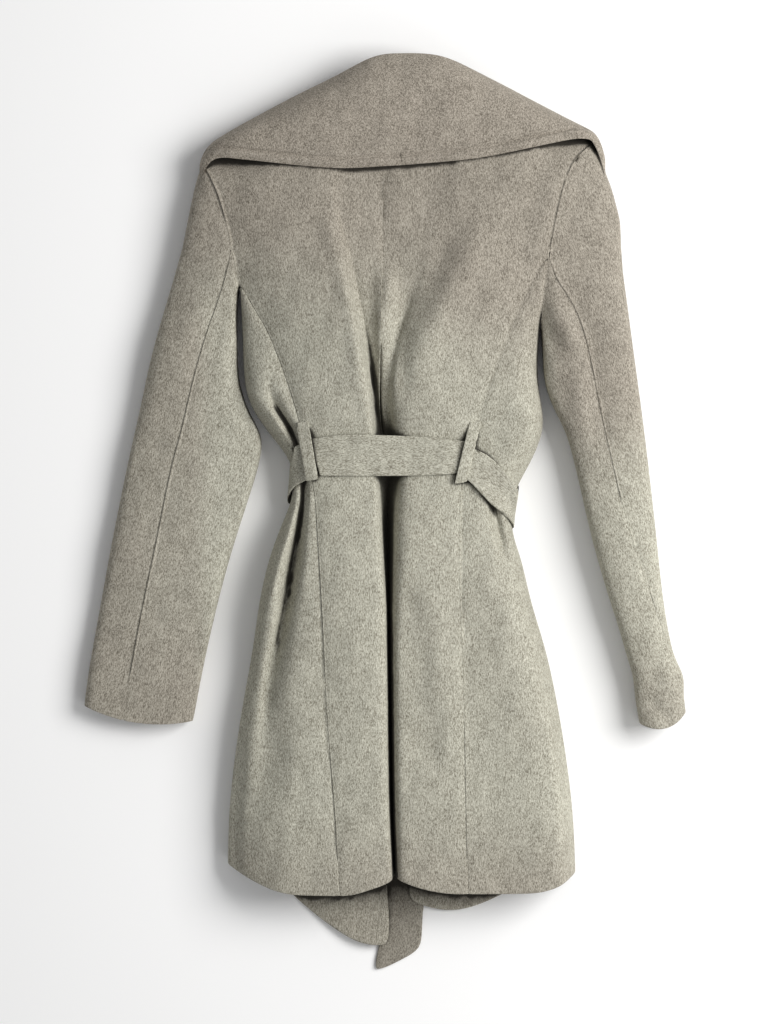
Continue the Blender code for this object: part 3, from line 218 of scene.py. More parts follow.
# fleck, patch and broad are sizes across and along the nap in millimetres
woolLook = {
    "name": "woolCloth", "turn": 0, "evenness": 0.118, "noiseRoughness": 0.6,
    "fleck": (0.85, 3.1),
    "patch": (13, 18.2), "patchDetail": 2.0, "patchShare": 0.06,
    "broad": (140, 170), "broadDetail": 1.0,
    "light": (0.650, 0.640, 0.540), "dark": (0.165, 0.150, 0.112),
    "warmLight": (0.490, 0.448, 0.378), "warmDark": (0.110, 0.094, 0.072),
    "warming": 0.6, "warmFrom": 0.15, "warmTo": 1.3,
    "hairs": 0.5, "hairsFrom": 0.60, "hairsTo": 0.78, "hairColour": (0.075, 0.065, 0.052),
    # painted shade in the folds: between foldFrom and foldTo of openness, up to foldShade of the shade
    # colour
    "foldFrom": 0.30, "foldTo": 0.74, "foldShade": 0.93, "foldShadeColour": (0.022, 0.019, 0.015),
    "roughness": 0.93, "specular": 0.2, "sheen": 0.12, "sheenRoughness": 0.55,
    "nap": 0.6, "napHeight": 0.4,
}
sleeveLeftLook = {**woolLook, "name": "woolSleeveLeft", "turn": 12}
sleeveRightLook = {**woolLook, "name": "woolSleeveRight", "turn": -16}
# painted shade: a darker copy of the wool for the belt's hanging end, which lies in the shade of the coat's
# hem
shadedTailLook = {
    **woolLook, "name": "woolTailShaded", "light": (0.455, 0.440, 0.375), "dark": (0.105, 0.094, 0.072),
    "warmLight": (0.350, 0.318, 0.268),
}
beltLook = {**woolLook, "name": "woolBelt", "turn": 90}
beltRightLook = {**woolLook, "name": "woolBeltRight", "turn": -50}
beltLeftLook = {**woolLook, "name": "woolBeltLeft", "turn": 53}
collarLook = {
    **woolLook, "name": "woolCollar", "fleck": (1.1, 2.2),
    "light": (0.545, 0.508, 0.428), "dark": (0.120, 0.104, 0.080),
    "warmLight": (0.475, 0.428, 0.362),
}

woolBody = woolCloth(woolLook)
woolSleeveLeft = woolCloth(sleeveLeftLook)
woolSleeveRight = woolCloth(sleeveRightLook)
woolTailShaded = woolCloth(shadedTailLook)
woolBelt = woolCloth(beltLook)
woolBeltRight = woolCloth(beltRightLook)
woolBeltLeft = woolCloth(beltLeftLook)
woolCollar = woolCloth(collarLook)
print("wool mixed")


# creases laid into the cloth, all in millimetres: lift raises the cloth along the line,
# and roll raises it to the right of the line and lowers it to the left
topCreases = [
    {"lift": 0, "roll": 2.2, "spread": 7,  # back, sharp left side of the hollow above the belt
     "line": [(-63, 343), (-40, 256), (-29, 208), (-22, 153), (-14, 93)]},
    {"lift": 0, "roll": -3.6, "spread": 15,  # back, broad right side of the hollow
     "line": [(97, 335), (61, 247), (43, 212), (28, 184), (22, 123), (26, 90)]},
    {"lift": -8.0, "roll": 0, "spread": 4.2,  # back, dip close beside the sharp side
     "line": [(-42, 285), (-34, 247), (-26, 205), (-17, 160), (-9, 112), (-4, 70)]},
    {"lift": 12.0, "roll": 0, "spread": 12,  # back, middle of the hollow
     "line": [(2, 290), (3, 220), (4, 170), (6, 100)]},
    {"lift": -7.0, "roll": 0, "spread": 5,  # back, deep end of the hollow at the belt
     "line": [(-14, 128), (-10, 106), (-6, 84), (-3, 56)]},
    {"lift": 5.5, "roll": 0, "spread": 5.5,  # back, middle seam pressed out of the hollow
     "line": [(-2, 250), (-3.3, 199), (-4.4, 153), (-4.6, 115), (-1, 70)]},
    {"lift": 0, "roll": -1.8, "spread": 13,  # back, soft fold beside the right armhole
     "line": [(196, 404), (172, 330), (150, 249)]},
    {"lift": -3.4, "roll": 0, "spread": 5,  # back, slack above the left end of the belt
     "line": [(-124, 122), (-108, 100), (-97, 82)]},
    {"lift": -1.0, "roll": 0, "spread": 6,  # back, second slack above the belt
     "line": [(-112, 150), (-100, 118), (-92, 92)]},
    {"lift": -5.0, "roll": 1.0, "spread": 7,  # skirt, left side fold
     "line": [(-89, 30), (-97, -48), (-101, -61), (-115, -134), (-126, -185), (-136, -260)]},
    {"lift": -3.0, "roll": 2.0, "spread": 20,  # skirt, wide slack beside the left fold
     "line": [(-104, -70), (-118, -134), (-128, -220), (-136, -330)]},
    {"lift": -2.2, "roll": -1.5, "spread": 16,  # skirt, trough right of the centre fold
     "line": [(31, -61), (53, -243), (69, -317)]},
    {"lift": -4.0, "roll": 0, "spread": 5,  # skirt, short fold below the right of the belt
     "line": [(115, 14), (122, -14), (132, -52)]},
    {"lift": 0, "roll": 1.6, "spread": 14,  # skirt, soft roll at the right side
     "line": [(128, -40), (150, -150), (168, -250)]},
    {"lift": 0, "roll": 1.5, "spread": 16,  # skirt, soft roll at the left
     "line": [(-128, -190), (-140, -270), (-150, -360)]},
    {"lift": -5.0, "roll": 0, "spread": 9,  # centre fold, its mouth below the belt
     "line": [(2, 62), (3, 20), (4, -40), (5, -90)]},
    {"lift": -3.0, "roll": 0, "spread": 7,  # centre fold, its floor
     "line": [(4, 60), (3, -18), (4, -172), (8, -330), (12, -410)]},
    {"lift": -1.0, "roll": 2.4, "spread": 11,  # right sleeve, long soft fold
     "line": [(187, 271), (221, 178), (226, 123), (236, 40)]},
    {"lift": -1.8, "roll": 0, "spread": 7,  # right sleeve, crease in front of the elbow
     "line": [(186, 160), (204, 156), (222, 163)]},
    {"lift": 0, "roll": -2.0, "spread": 9,  # right sleeve, slack below the armhole
     "line": [(176, 240), (184, 200), (206, 178)]},
    {"lift": -1.8, "roll": 0, "spread": 6,  # right cuff, pucker
     "line": [(290, -205), (306, -222), (318, -232)]},
    {"lift": 1.4, "roll": 0, "spread": 8,  # right cuff, second pucker
     "line": [(300, -170), (318, -196), (328, -216)]},
    {"lift": 0, "roll": 1.6, "spread": 14,  # left sleeve, soft fold below the head
     "line": [(-186, 250), (-203, 190), (-216, 120)]},
    {"lift": -1.6, "roll": 0, "spread": 13,  # left sleeve, slack at the elbow
     "line": [(-262, 76), (-238, 56), (-205, 52)]},
    {"lift": -1.1, "roll": 0.8, "spread": 14,  # left sleeve, slack above the cuff
     "line": [(-300, -100), (-268, -120), (-236, -112)]},
]
underCreases = [  # the fronts, drawn up towards the knot and slack below it; all lie above the floor
    {"lift": 2.6, "roll": 0, "spread": 9,  # left front, pull to the knot
     "line": [(-40, 150), (-22, 110), (0, 72)]},
    {"lift": 3.0, "roll": 0, "spread": 11,  # left front, long fold below the belt
     "line": [(-60, -10), (-72, -130), (-80, -250)]},
    {"lift": 2.2, "roll": 0, "spread": 10,  # left front, second fold below the belt
     "line": [(-112, -20), (-126, -120), (-130, -190)]},
    {"lift": 3.0, "roll": 0, "spread": 12,  # right front, long fold below the belt
     "line": [(118, -40), (132, -160), (138, -280)]},
    {"lift": 2.2, "roll": 0, "spread": 9,  # right front, fold beside the tails
     "line": [(70, -20), (84, -110), (92, -200)]},
    {"lift": 2.4, "roll": 0, "spread": 9,  # right front, pull above the belt
     "line": [(100, 74), (112, 120), (132, 170)]},
]


# fade is the share of its line over which a crease fades at each end, rollHeight makes a roll's height one;
# top and under are heights in metres: above the first the upper side moves, below the second the underside
creaseForm = {"fade": 0.25, "rollHeight": 1.65, "top": (0.008, 0.018), "under": (0.012, 0.020)}


def creaseLift(points, creases):
    lift = np.zeros(len(points))
    for crease in creases:
        away, along = offLine(points, crease["line"])
        away = away / (crease["spread"] * mm)
        fade = ease(along, 0, creaseForm["fade"]) * ease(1 - along, 0, creaseForm["fade"])
        lift += mm * fade * np.exp(-away ** 2) * crease["lift"]
        lift += mm * fade * np.exp(-away ** 2 / 2) * away * creaseForm["rollHeight"] * crease["roll"]
    return lift


unevenness = [  # width across in millimetres, direction in degrees, height in millimetres, start
    {"wave": 74, "turn": 12, "height": 0.50, "start": 0.4},
    {"wave": 47, "turn": -28, "height": 0.34, "start": 2.1},
    {"wave": 112, "turn": 68, "height": 0.55, "start": 4.0},
    {"wave": 31, "turn": 41, "height": 0.18, "start": 1.3},
    {"wave": 23, "turn": -8, "height": 0.12, "start": 5.2},
]


def unevenLift(points):
    lift = np.zeros(len(points))
    for wave in unevenness:
        turn = radians(wave["turn"])
        way = points[:, 0] * np.cos(turn) + points[:, 1] * np.sin(turn)
        lift += wave["height"] * mm * np.sin(2 * np.pi * way / (wave["wave"] * mm) + wave["start"])
    return lift


# angles in degrees, lengths in millimetres but for merge, which is in metres; tight is how sharp a sewn
# rim stays, way the part of a gap that each side closes, depth and stitch are the dips along a seam
cutting = {"merge": 0.00001, "quadAngle": 60, "rimAngle": 46, "rimStep": 3, "thickest": 6}
sewing = {
    "reach": 2.2, "tight": 0.56, "near": 7.0, "widest": 5.0, "around": 3, "way": 0.5, "over": 0.03,
    "depth": 0.45, "spread": 3.6, "stitch": 0.35, "stitchSpread": 1.1, "flatFrom": 0.35,
}
pressedSeams = [  # strips in plan, in metres, whose seams are pressed so flat that they hardly show
    {"x": 0, "half": 0.016, "y": (0.055, 0.300)},  # the middle seam, down in the hollow
    {"x": 0.0185, "half": 0.003, "y": (0.370, 0.600)},  # the collar's middle seam
]


def cutOut(piece):
    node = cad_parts[piece["node"]]
    cloth = bpy.data.objects.new(piece["name"], node.data.copy())
    bpy.context.scene.collection.objects.link(cloth)
    onlySelect(cloth)
    bpy.ops.object.mode_set(mode="EDIT")
    bpy.ops.mesh.customdata_custom_splitnormals_clear()
    bpy.ops.mesh.select_all(action="SELECT")
    bpy.ops.mesh.remove_doubles(threshold=cutting["merge"])
    quadAngle = radians(cutting["quadAngle"])
    bpy.ops.mesh.tris_convert_to_quads(face_threshold=quadAngle, shape_threshold=quadAngle)
    bpy.ops.object.mode_set(mode="OBJECT")
    piece["cloth"] = cloth


def findRims(piece):
    # the cut edges of the cloth, and points along them
    mesh = piece["cloth"].data
    work = bmesh.new()
    work.from_mesh(mesh)
    piece["rimEdges"], piece["rim"] = [], []
    for edge in work.edges:
        if len(edge.link_faces) == 2 and edge.calc_face_angle(0) > radians(cutting["rimAngle"]):
            start, end = edge.verts[0].co, edge.verts[1].co
            parts = max(1, int(edge.calc_length() / (cutting["rimStep"] * mm)))
            piece["rimEdges"].append(edge.index)
            piece["rim"] += [start.lerp(end, k / parts) for k in range(parts)]
    work.free()


def lookupOf(spots):
    lookup = KDTree(len(spots))
    for k, spot in enumerate(spots):
        lookup.insert(spot, k)
    lookup.balance()
    return lookup


def sewnSpots(pieces):
    # where the rims of two pieces lie side by side they are sewn
    rims = [(spot, number) for number, piece in enumerate(pieces) for spot in piece["rim"]]
    lookup = lookupOf([spot for spot, number in rims])
    sewn = []
    for spot, number in rims:
        near = lookup.find_range(spot, sewing["reach"] * mm)
        if any(rims[k][1] != number for place, k, distance in near):
            sewn.append(spot)
    return lookupOf(sewn)


def isPressed(spot):
    return any(abs(spot.x - strip["x"]) < strip["half"] and strip["y"][0] < spot.y < strip["y"][1]
               for strip in pressedSeams)


def markRims(piece, sewn):
    # sewn rims stay sharp enough to meet; free ones are rounded over; rim faces get material number 1
    mesh = piece["cloth"].data
    work = bmesh.new()
    work.from_mesh(mesh)
    work.edges.ensure_lookup_table()
    crease = work.edges.layers.float.get("crease_edge") or work.edges.layers.float.new("crease_edge")
    marked = set(piece["rimEdges"])
    for number in marked:
        edge = work.edges[number]
        middle = (edge.verts[0].co + edge.verts[1].co) / 2
        isSewn = sewn.find(middle)[2] < sewing["reach"] * mm
        edge[crease] = sewing["tight"] if isSewn else piece["soft"]
        if isSewn and isPressed(middle):
            edge[crease] = 1
            edge.smooth = False
    for face in work.faces:
        across = [edge for edge in face.edges if edge.index not in marked]
        thick = max((edge.calc_length() for edge in across), default=1)
        # a rim face runs between two cut edges, or is a triangle beside one
        isRim = len(face.edges) - len(across) >= 2 or (len(face.edges) == 3 and len(across) == 2)
        face.material_index = 1 if isRim and thick < cutting["thickest"] * mm else 0
    work.to_mesh(mesh)
    work.free()


def softenPiece(piece):
    cloth = piece["cloth"]
    onlySelect(cloth)
    soft = cloth.modifiers.new("softCloth", "SUBSURF")
    soft.levels = piece["rounds"]
    soft.render_levels = piece["rounds"]
    bpy.ops.object.modifier_apply(modifier=soft.name)
    bpy.ops.object.shade_smooth()
    mesh = cloth.data
    # after a round of smoothing every face has four corners
    flags = np.zeros(len(mesh.polygons), dtype=np.int32)
    mesh.polygons.foreach_get("material_index", flags)
    corners = np.zeros(len(mesh.loops), dtype=np.int32)
    mesh.loops.foreach_get("vertex_index", corners)
    piece["rimPoints"] = np.unique(corners.reshape(-1, 4)[flags == 1])
    mesh.polygons.foreach_set("material_index", np.zeros_like(flags))
    piece["points"] = readPoints(mesh)
    piece["tree"] = BVHTree.FromPolygons(piece["points"].tolist(), corners.reshape(-1, 4).tolist())
    piece["low"] = piece["points"].min(axis=0) - sewing["around"] * mm
    piece["high"] = piece["points"].max(axis=0) + sewing["around"] * mm


def closeSeams(piece, coat, sewn):
    # each sewn rim moves half way to the piece beside it and a little over, so that no gap is left
    points = piece["points"]
    moved = points.copy()
    for k in piece["rimPoints"]:
        spot = Vector(points[k])
        if sewn.find(spot)[2] > sewing["near"] * mm:
            continue
        best, gap = None, sewing["widest"] * mm
        for other in coat:
            low, high = other["low"], other["high"]
            if other is piece or (points[k] < low).any() or (points[k] > high).any():
                continue
            place, normal, face, distance = other["tree"].find_nearest(spot, gap)
            if place is not None:
                best, gap = place, distance
        if best is not None and gap > 0:
            moved[k] += (np.array(best) - points[k]) * (sewing["way"] + sewing["over"] * mm / gap)
    piece["moved"] = moved


# where a seam's dip begins and ends, in metres
seamEnds = {
    "hem": {"y": (-0.402, -0.362)},
    "leftCuff": {"x": -0.2, "y": (-0.205, -0.165)},
    "rightCuff": {"x": 0.25, "y": (-0.15, -0.09)},
    "hollow": {"x": 0, "half": 0.015, "y": (0.262, 0.312)},
    "collar": {"x": 0.0185, "half": 0.012, "y": 0.392, "share": 0.25},
}


def seamShows(points):
    # the seams are flat where the cloth is turned up at the hem and the cuffs
    x, y = points[:, 0], points[:, 1]
    hem = ease(y, *seamEnds["hem"]["y"])
    leftCuff = np.where(x < seamEnds["leftCuff"]["x"], ease(y, *seamEnds["leftCuff"]["y"]), 1)
    rightCuff = np.where(x > seamEnds["rightCuff"]["x"], ease(y, *seamEnds["rightCuff"]["y"]), 1)
    # nor does the middle seam show down in the hollow, and on the collar it shows less
    hollow, collar = seamEnds["hollow"], seamEnds["collar"]
    inHollow = np.abs(x - hollow["x"]) < hollow["half"]
    onCollar = (np.abs(x - collar["x"]) < collar["half"]) & (y > collar["y"])
    middleSeam = np.where(inHollow, ease(y, *hollow["y"]), 1)
    return hem * leftCuff * rightCuff * middleSeam * np.where(onCollar, collar["share"], 1)


def sewAndShape(piece, sewn):
    mesh = piece["cloth"].data
    writePoints(mesh, piece["moved"])
    points, normals = readPoints(mesh), readNormals(mesh)
    away = np.array([sewn.find(spot)[2] for spot in points]) / mm
    dip = sewing["depth"] * np.exp(-(away / sewing["spread"]) ** 2)
    dip += sewing["stitch"] * np.exp(-(away / sewing["stitchSpread"]) ** 2)
    onRim = np.zeros(len(points), dtype=bool)
    onRim[piece["rimPoints"]] = True
    flat = np.abs(normals[:, 2]) > sewing["flatFrom"]
    dip = np.where(onRim & ~flat, 0, dip) * seamShows(points)
    points -= normals * (dip * mm)[:, None]
    piece["points"] = piece["shape"](points, normals) if piece["shape"] else points
    writePoints(mesh, piece["points"])


restHeights = (0.006, 0.020)  # metres above the floor: from none to all of the unevenness


def easyLift(points):
    # nothing moves where it rests on the floor
    return unevenLift(points) * ease(points[:, 2], *restHeights)


foldMouth = {
    "line": [(4, 60), (3, -18), (4, -60), (5.5, -170), (8.5, -330), (12, -420)], "spread": 15,
    "close": [(-100, 0.74), (-40, 0.5), (30, 0.32), (44, 0)],  # height y, share of the way
}


def closeFold(points):
    # the two lips of the centre fold come together towards the hem
    away, along = offLine(points, foldMouth["line"])
    near = np.exp(-(away / (foldMouth["spread"] * mm)) ** 2)
    share = np.interp(points[:, 1] / mm, *np.array(foldMouth["close"]).T)
    points[:, 0] += away * near * share
    return points


# millimetres out and down from the middle, and heights in metres, from where to where the drop fades in
hipFall = {"side": (98, 166), "down": (50, 190), "drop": 17, "heights": (0.018, 0.050)}


def fallAway(points):
    # the skirt's left side slopes down to its edge
    side = ease(-points[:, 0] / mm, *hipFall["side"])
    down = ease(-points[:, 1] / mm, *hipFall["down"])
    return -side * down * ease(points[:, 2], *hipFall["heights"]) * hipFall["drop"] * mm


junctions = {"reach": 6, "share": 0.7, "spots": [(183, 281), (179, 277), (-170.5, 286), (-159, 247)]}


def gatherSeams(points):
    # where three seams meet under the arms, their ends are drawn together
    for spot in junctions["spots"]:
        away = points[:, :2] - np.array(spot) * mm
        near = np.exp(-(np.hypot(away[:, 0], away[:, 1]) / (junctions["reach"] * mm)) ** 2)
        points[:, :2] -= away * (near * junctions["share"])[:, None]
    return points


# fuller gives the push outwards for each height y, and it fades in between two distances from the middle
leftHead = {
    "side": -1, "fadeIn": (165, 192),
    "fuller": [(290, 0), (325, 2.5), (347, 4.5), (360, 6.5), (372, 9), (384, 11.5)],
}
rightHead = {
    "side": 1, "fadeIn": (205, 232),
    "fuller": [(262, 0), (290, 2), (320, 6.5), (351, 6.5), (362, 6), (370, 5), (387, 6.5)],
}


def fillHeads(points):
    # the tops of the sleeves fill the ends of the collar's fall, and the armholes go with them
    for head in (leftHead, rightHead):
        push = np.interp(points[:, 1] / mm, *np.array(head["fuller"]).T) * mm
        points[:, 0] += head["side"] * push * ease(head["side"] * points[:, 0] / mm, *head["fadeIn"])
    return points


def upperShape(points, normals):
    points = fillHeads(closeFold(gatherSeams(points)))
    points[:, 2] += fallAway(points)
    creased = creaseLift(points, topCreases) * ease(points[:, 2], *creaseForm["top"])
    points[:, 2] += easyLift(points) + creased
    return points


rightCuff = {"at": -181, "over": 17, "push": 4.5, "least": 0.4, "side": (272, 306)}


def rightSleeveShape(points, normals):
    # the right sleeve bulges a little above its cuff
    near = np.exp(-((points[:, 1] / mm - rightCuff["at"]) / rightCuff["over"]) ** 2)
    least = rightCuff["least"]
    side = least + (1 - least) * ease(points[:, 0] / mm, *rightCuff["side"])
    points[:, 0] += near * side * rightCuff["push"] * mm
    return upperShape(points, normals)


def beltShape(points, normals):
    points[:, 2] += easyLift(points)
    return points


def keepWithin(points, look):
    # what reaches past the outline is drawn in softly; outline is how far out it runs at each y
    heights, limits = np.array(look["outline"]).T
    limit = np.interp(points[:, 1] / mm, heights, limits)
    x = points[:, 0] / mm * look["side"]
    over = np.maximum(x - limit + look["softness"], 0)
    drawn = np.where(over > 0, limit - look["softness"] * np.exp(-over / look["softness"]), x)
    points[:, 0] = drawn * look["side"] * mm
    return points


def turnBelt(points, look):
    # the belt's two edges are shifted to run as they do where it turns round the side
    x, y = points[:, 0] / mm, points[:, 1] / mm
    x = x * look["side"]
    low = np.interp(x, *np.array(look["lowEdge"]).T)
    share = np.clip((y - low) / look["width"], 0, look["most"])
    topShift = np.interp(x, *np.array(look["topShift"]).T)
    lowShift = np.interp(x, *np.array(look["lowShift"]).T)
    onTop = ease(points[:, 2] / mm, 0, look["top"])
    points[:, 1] += (share * topShift + (1 - share) * lowShift) * onTop * mm
    return beltShape(keepWithin(points, look), None)


# lowEdge and the two shifts are given for each distance from the middle
rightTurn = {
    "side": 1, "softness": 4.0, "width": 53, "most": 1.1, "top": 36,
    "outline": [(-60, 143), (-20, 143.5), (7, 145.5), (29, 148.5), (45, 149.5)],
    "lowEdge": [(92, 38), (142, -19)],
    "topShift": [(98, -9), (104, -9), (112, -8), (119, -9.5), (130, -14), (137, -18), (149, -27)],
    "lowShift": [(91, 1.5), (104, -1), (117, -3.5), (141, -2.5)],
}
leftTurn = {
    "side": -1, "softness": 3.0, "width": 42, "most": 1.1, "top": 36,
    "outline": [(-13, 112), (9, 108), (26, 107.5), (42, 105.5), (54, 103.5), (64, 100), (90, 97)],
    "lowEdge": [(70, 36), (108, 8)],
    "topShift": [(80, 0), (108, -5)],
    "lowShift": [(80, 0), (108, 0)],
}


def rightBeltShape(points, normals):
    return turnBelt(points, rightTurn)


def leftBeltShape(points, normals):
    return turnBelt(points, leftTurn)


def frontShape(points, normals):
    points = fillHeads(points)
    low = 1 - ease(points[:, 2], *creaseForm["under"])
    points[:, 2] += creaseLift(points, underCreases) * low
    return points


# facing and above say what counts as the upper side: how level, and how high in metres
collarStitch = {
    "depth": 2.0, "spread": 1.7, "in": 11.5, "facing": 0.2, "above": 0.012,
    "roll": 1.3, "rollAt": 0.5, "rollSpread": 3.2,
    "edge": [
        (-204, 365), (-200, 371), (-192, 385), (-180, 389), (-163, 387), (-132, 383.5), (-102, 380),
        (-75, 377.5), (-52, 376), (-32, 376), (-8, 378), (17.5, 379.5), (45, 381.5), (69, 383.5),
        (94, 386), (120, 390), (146, 395.5), (183, 403.5), (213, 410), (227, 408), (234, 396),
        (239, 381), (243, 368),
    ],
}


def collarShape(points, normals):
    # a row of stitches runs round the fall, and the edge outside it is a little fuller
    away, along = offLine(points, collarStitch["edge"])
    inside = -away / mm
    top = (normals[:, 2] > collarStitch["facing"]) & (points[:, 2] > collarStitch["above"])
    groove = np.exp(-((inside - collarStitch["in"]) / collarStitch["spread"]) ** 2)
    rollAt = collarStitch["in"] * collarStitch["rollAt"]
    fuller = np.exp(-((inside - rollAt) / collarStitch["rollSpread"]) ** 2)
    rise = fuller * collarStitch["roll"] - groove * collarStitch["depth"]
    points[:, 2] += np.where(top, rise, 0) * mm + easyLift(points)
    return points


loopStitch = {"depth": 0.7, "spread": 1.0, "closer": 1.3, "facing": 0.2, "rows": [33.5, 90.0]}


def loopShape(points, normals):
    # each end of a belt loop is stitched across
    points[:, 2] -= loopStitch["closer"] * mm
    for row in loopStitch["rows"]:
        away = (points[:, 1] / mm - row) / loopStitch["spread"]
        dent = np.exp(-away ** 2) * loopStitch["depth"] * mm
        points[:, 2] -= np.where(normals[:, 2] > loopStitch["facing"], dent, 0)
    points[:, 2] += easyLift(points)
    return points


# what most pieces have in common: rounds of smoothing, and how firm a free edge stays
madeUp = {"rounds": 3, "soft": 0.34, "shape": upperShape, "wool": woolBody, "on": []}
backLeft = {
    **madeUp, "name": "backLeft", "node": "back_left",
    "flat": (0.165, 0.885), "area": 0.1100, "on": ["frontLeft", "frontRight"],
}
backRight = {
    **madeUp, "name": "backRight", "node": "back_right",
    "flat": (0.185, 0.885), "area": 0.1205, "on": ["frontLeft", "frontRight"],
}
sideBackLeft = {
    **madeUp, "name": "sideBackLeft", "node": "side_back_left",
    "flat": (0.20, 0.70), "area": 0.0910, "on": ["frontLeft"],
}
sideBackRight = {
    **madeUp, "name": "sideBackRight", "node": "side_back_right",
    "flat": (0.20, 0.72), "area": 0.0940, "on": ["frontRight"],
}
frontLeft = {
    **madeUp, "name": "frontLeft", "node": "front_left", "rounds": 2,
    "shape": frontShape, "flat": (0.30, 0.94), "area": 0.1395, "on": ["frontRight"],
}
frontRight = {
    **madeUp, "name": "frontRight", "node": "front_right", "rounds": 2,
    "shape": frontShape, "flat": (0.29, 0.92), "area": 0.1255, "on": ["beltFrontRight", "lapelRight"],
}
sleeveLeftUpper = {
    **madeUp, "name": "sleeveLeftUpper", "node": "sleeve_left_upper",
    "wool": woolSleeveLeft, "flat": (0.19, 0.63), "area": 0.0737, "on": ["sleeveLeftUnder"],
}
sleeveLeftUnder = {
    **madeUp, "name": "sleeveLeftUnder", "node": "sleeve_left_under",
    "wool": woolSleeveLeft, "flat": (0.19, 0.56), "area": 0.0735,
}
sleeveRightUpper = {
    **madeUp, "name": "sleeveRightUpper", "node": "sleeve_right_upper",
    "shape": rightSleeveShape, "wool": woolSleeveRight,
    "flat": (0.19, 0.66), "area": 0.0672, "on": ["sleeveRightUnder"],
}
sleeveRightUnder = {
    **madeUp, "name": "sleeveRightUnder", "node": "sleeve_right_under",
    "shape": rightSleeveShape, "wool": woolSleeveRight, "flat": (0.17, 0.56), "area": 0.0562,
}
collarLeft = {
    **madeUp, "name": "collarLeft", "node": "collar_left", "rounds": 4,
    "shape": collarShape, "wool": woolCollar,
    "flat": (0.24, 0.20), "area": 0.0296, "on": ["backLeft", "frontLeft"],
}
collarRight = {
    **madeUp, "name": "collarRight", "node": "collar_right", "rounds": 4,
    "shape": collarShape, "wool": woolCollar,
    "flat": (0.24, 0.20), "area": 0.0296, "on": ["backRight", "frontRight"],
}
lapelLeft = {
    **madeUp, "name": "lapelLeft", "node": "lapel_left",
    "shape": None, "wool": woolCollar, "flat": (0.20, 0.305), "area": 0.0328,
}
lapelRight = {
    **madeUp, "name": "lapelRight", "node": "lapel_right",
    "shape": None, "wool": woolCollar, "flat": (0.24, 0.36), "area": 0.0343,
}
beltBack = {
    **madeUp, "name": "beltBack", "node": "belt_back",
    "shape": beltShape, "wool": woolBelt,
    "flat": (0.19, 0.047), "area": 0.0079, "on": ["backLeft", "backRight"],
}
beltSideLeft = {
    **madeUp, "name": "beltSideLeft", "node": "belt_side_left",
    "shape": leftBeltShape, "wool": woolBeltLeft,
    "flat": (0.115, 0.05), "area": 0.0049, "on": ["sideBackLeft"],
}
beltSideRight = {
    **madeUp, "name": "beltSideRight", "node": "belt_side_right",
    "shape": rightBeltShape, "wool": woolBeltRight,
    "flat": (0.165, 0.05), "area": 0.0074, "on": ["sideBackRight"],
}
beltFrontLeft = {
    **madeUp, "name": "beltFrontLeft", "node": "belt_front_left",
    "shape": None, "wool": woolBelt, "flat": (0.066, 0.05), "area": 0.0031,
}
beltFrontRight = {
    **madeUp, "name": "beltFrontRight", "node": "belt_front_right",
    "shape": None, "wool": woolBelt, "flat": (0.07, 0.05), "area": 0.0029,
}
beltKnot = {
    **madeUp, "name": "beltKnot", "node": "belt_knot",
    "shape": None, "wool": woolBelt, "flat": (0.052, 0.054), "area": 0.0027,
}
beltTailLong = {
    **madeUp, "name": "beltTailLong", "node": "belt_tail_long",
    "shape": None, "wool": woolTailShaded, "flat": (0.046, 0.525), "area": 0.0232,
}
beltTailShort = {
    **madeUp, "name": "beltTailShort", "node": "belt_tail_short",
    "shape": None, "flat": (0.046, 0.25), "area": 0.0103,
}
beltLoopLeft = {
    **madeUp, "name": "beltLoopLeft", "node": "belt_loop_left", "soft": 0.16,
    "shape": loopShape, "flat": (0.017, 0.072), "area": 0.0012, "on": ["beltBack"],
}
beltLoopRight = {
    **madeUp, "name": "beltLoopRight", "node": "belt_loop_right", "soft": 0.16,
    "shape": loopShape, "flat": (0.017, 0.072), "area": 0.0011, "on": ["beltBack"],
}

coat = [
    backLeft, backRight, sideBackLeft, sideBackRight, frontLeft, frontRight,
    sleeveLeftUpper, sleeveLeftUnder, sleeveRightUpper, sleeveRightUnder,
    collarLeft, collarRight, lapelLeft, lapelRight,
    beltBack, beltSideLeft, beltSideRight, beltFrontLeft, beltFrontRight,
    beltKnot, beltTailLong, beltTailShort, beltLoopLeft, beltLoopRight,
]

for piece in coat:
    cutOut(piece)
    findRims(piece)
sewn = sewnSpots(coat)
print("pieces cut out")

for piece in coat:
    markRims(piece, sewn)
    softenPiece(piece)
print("cloth softened")

for piece in coat:
    closeSeams(piece, coat, sewn)
for piece in coat:
    sewAndShape(piece, sewn)
print("seams sewn and creases laid in")


# from where to where each place fades in, in millimetres, and how much painted shade and warmer tone it
# gets there
shadedAndWarmAt = {
    "shoulders": (150, 365), "lowerBy": 70, "lowerFrom": (20, 120),
    "hem": (300, 430), "hemShare": 0.55,
    "leftSleeve": (175, 215), "leftShare": 0.55, "leftCuff": (60, 230), "leftCuffShare": 0.2,
    "rightSleeve": (225, 275), "rightCuff": (120, 230), "rightCuffShare": 0.5,
    "rightTop": (150, 215), "rightTopDown": (-30, 250), "rightTopShare": 1.4,
}


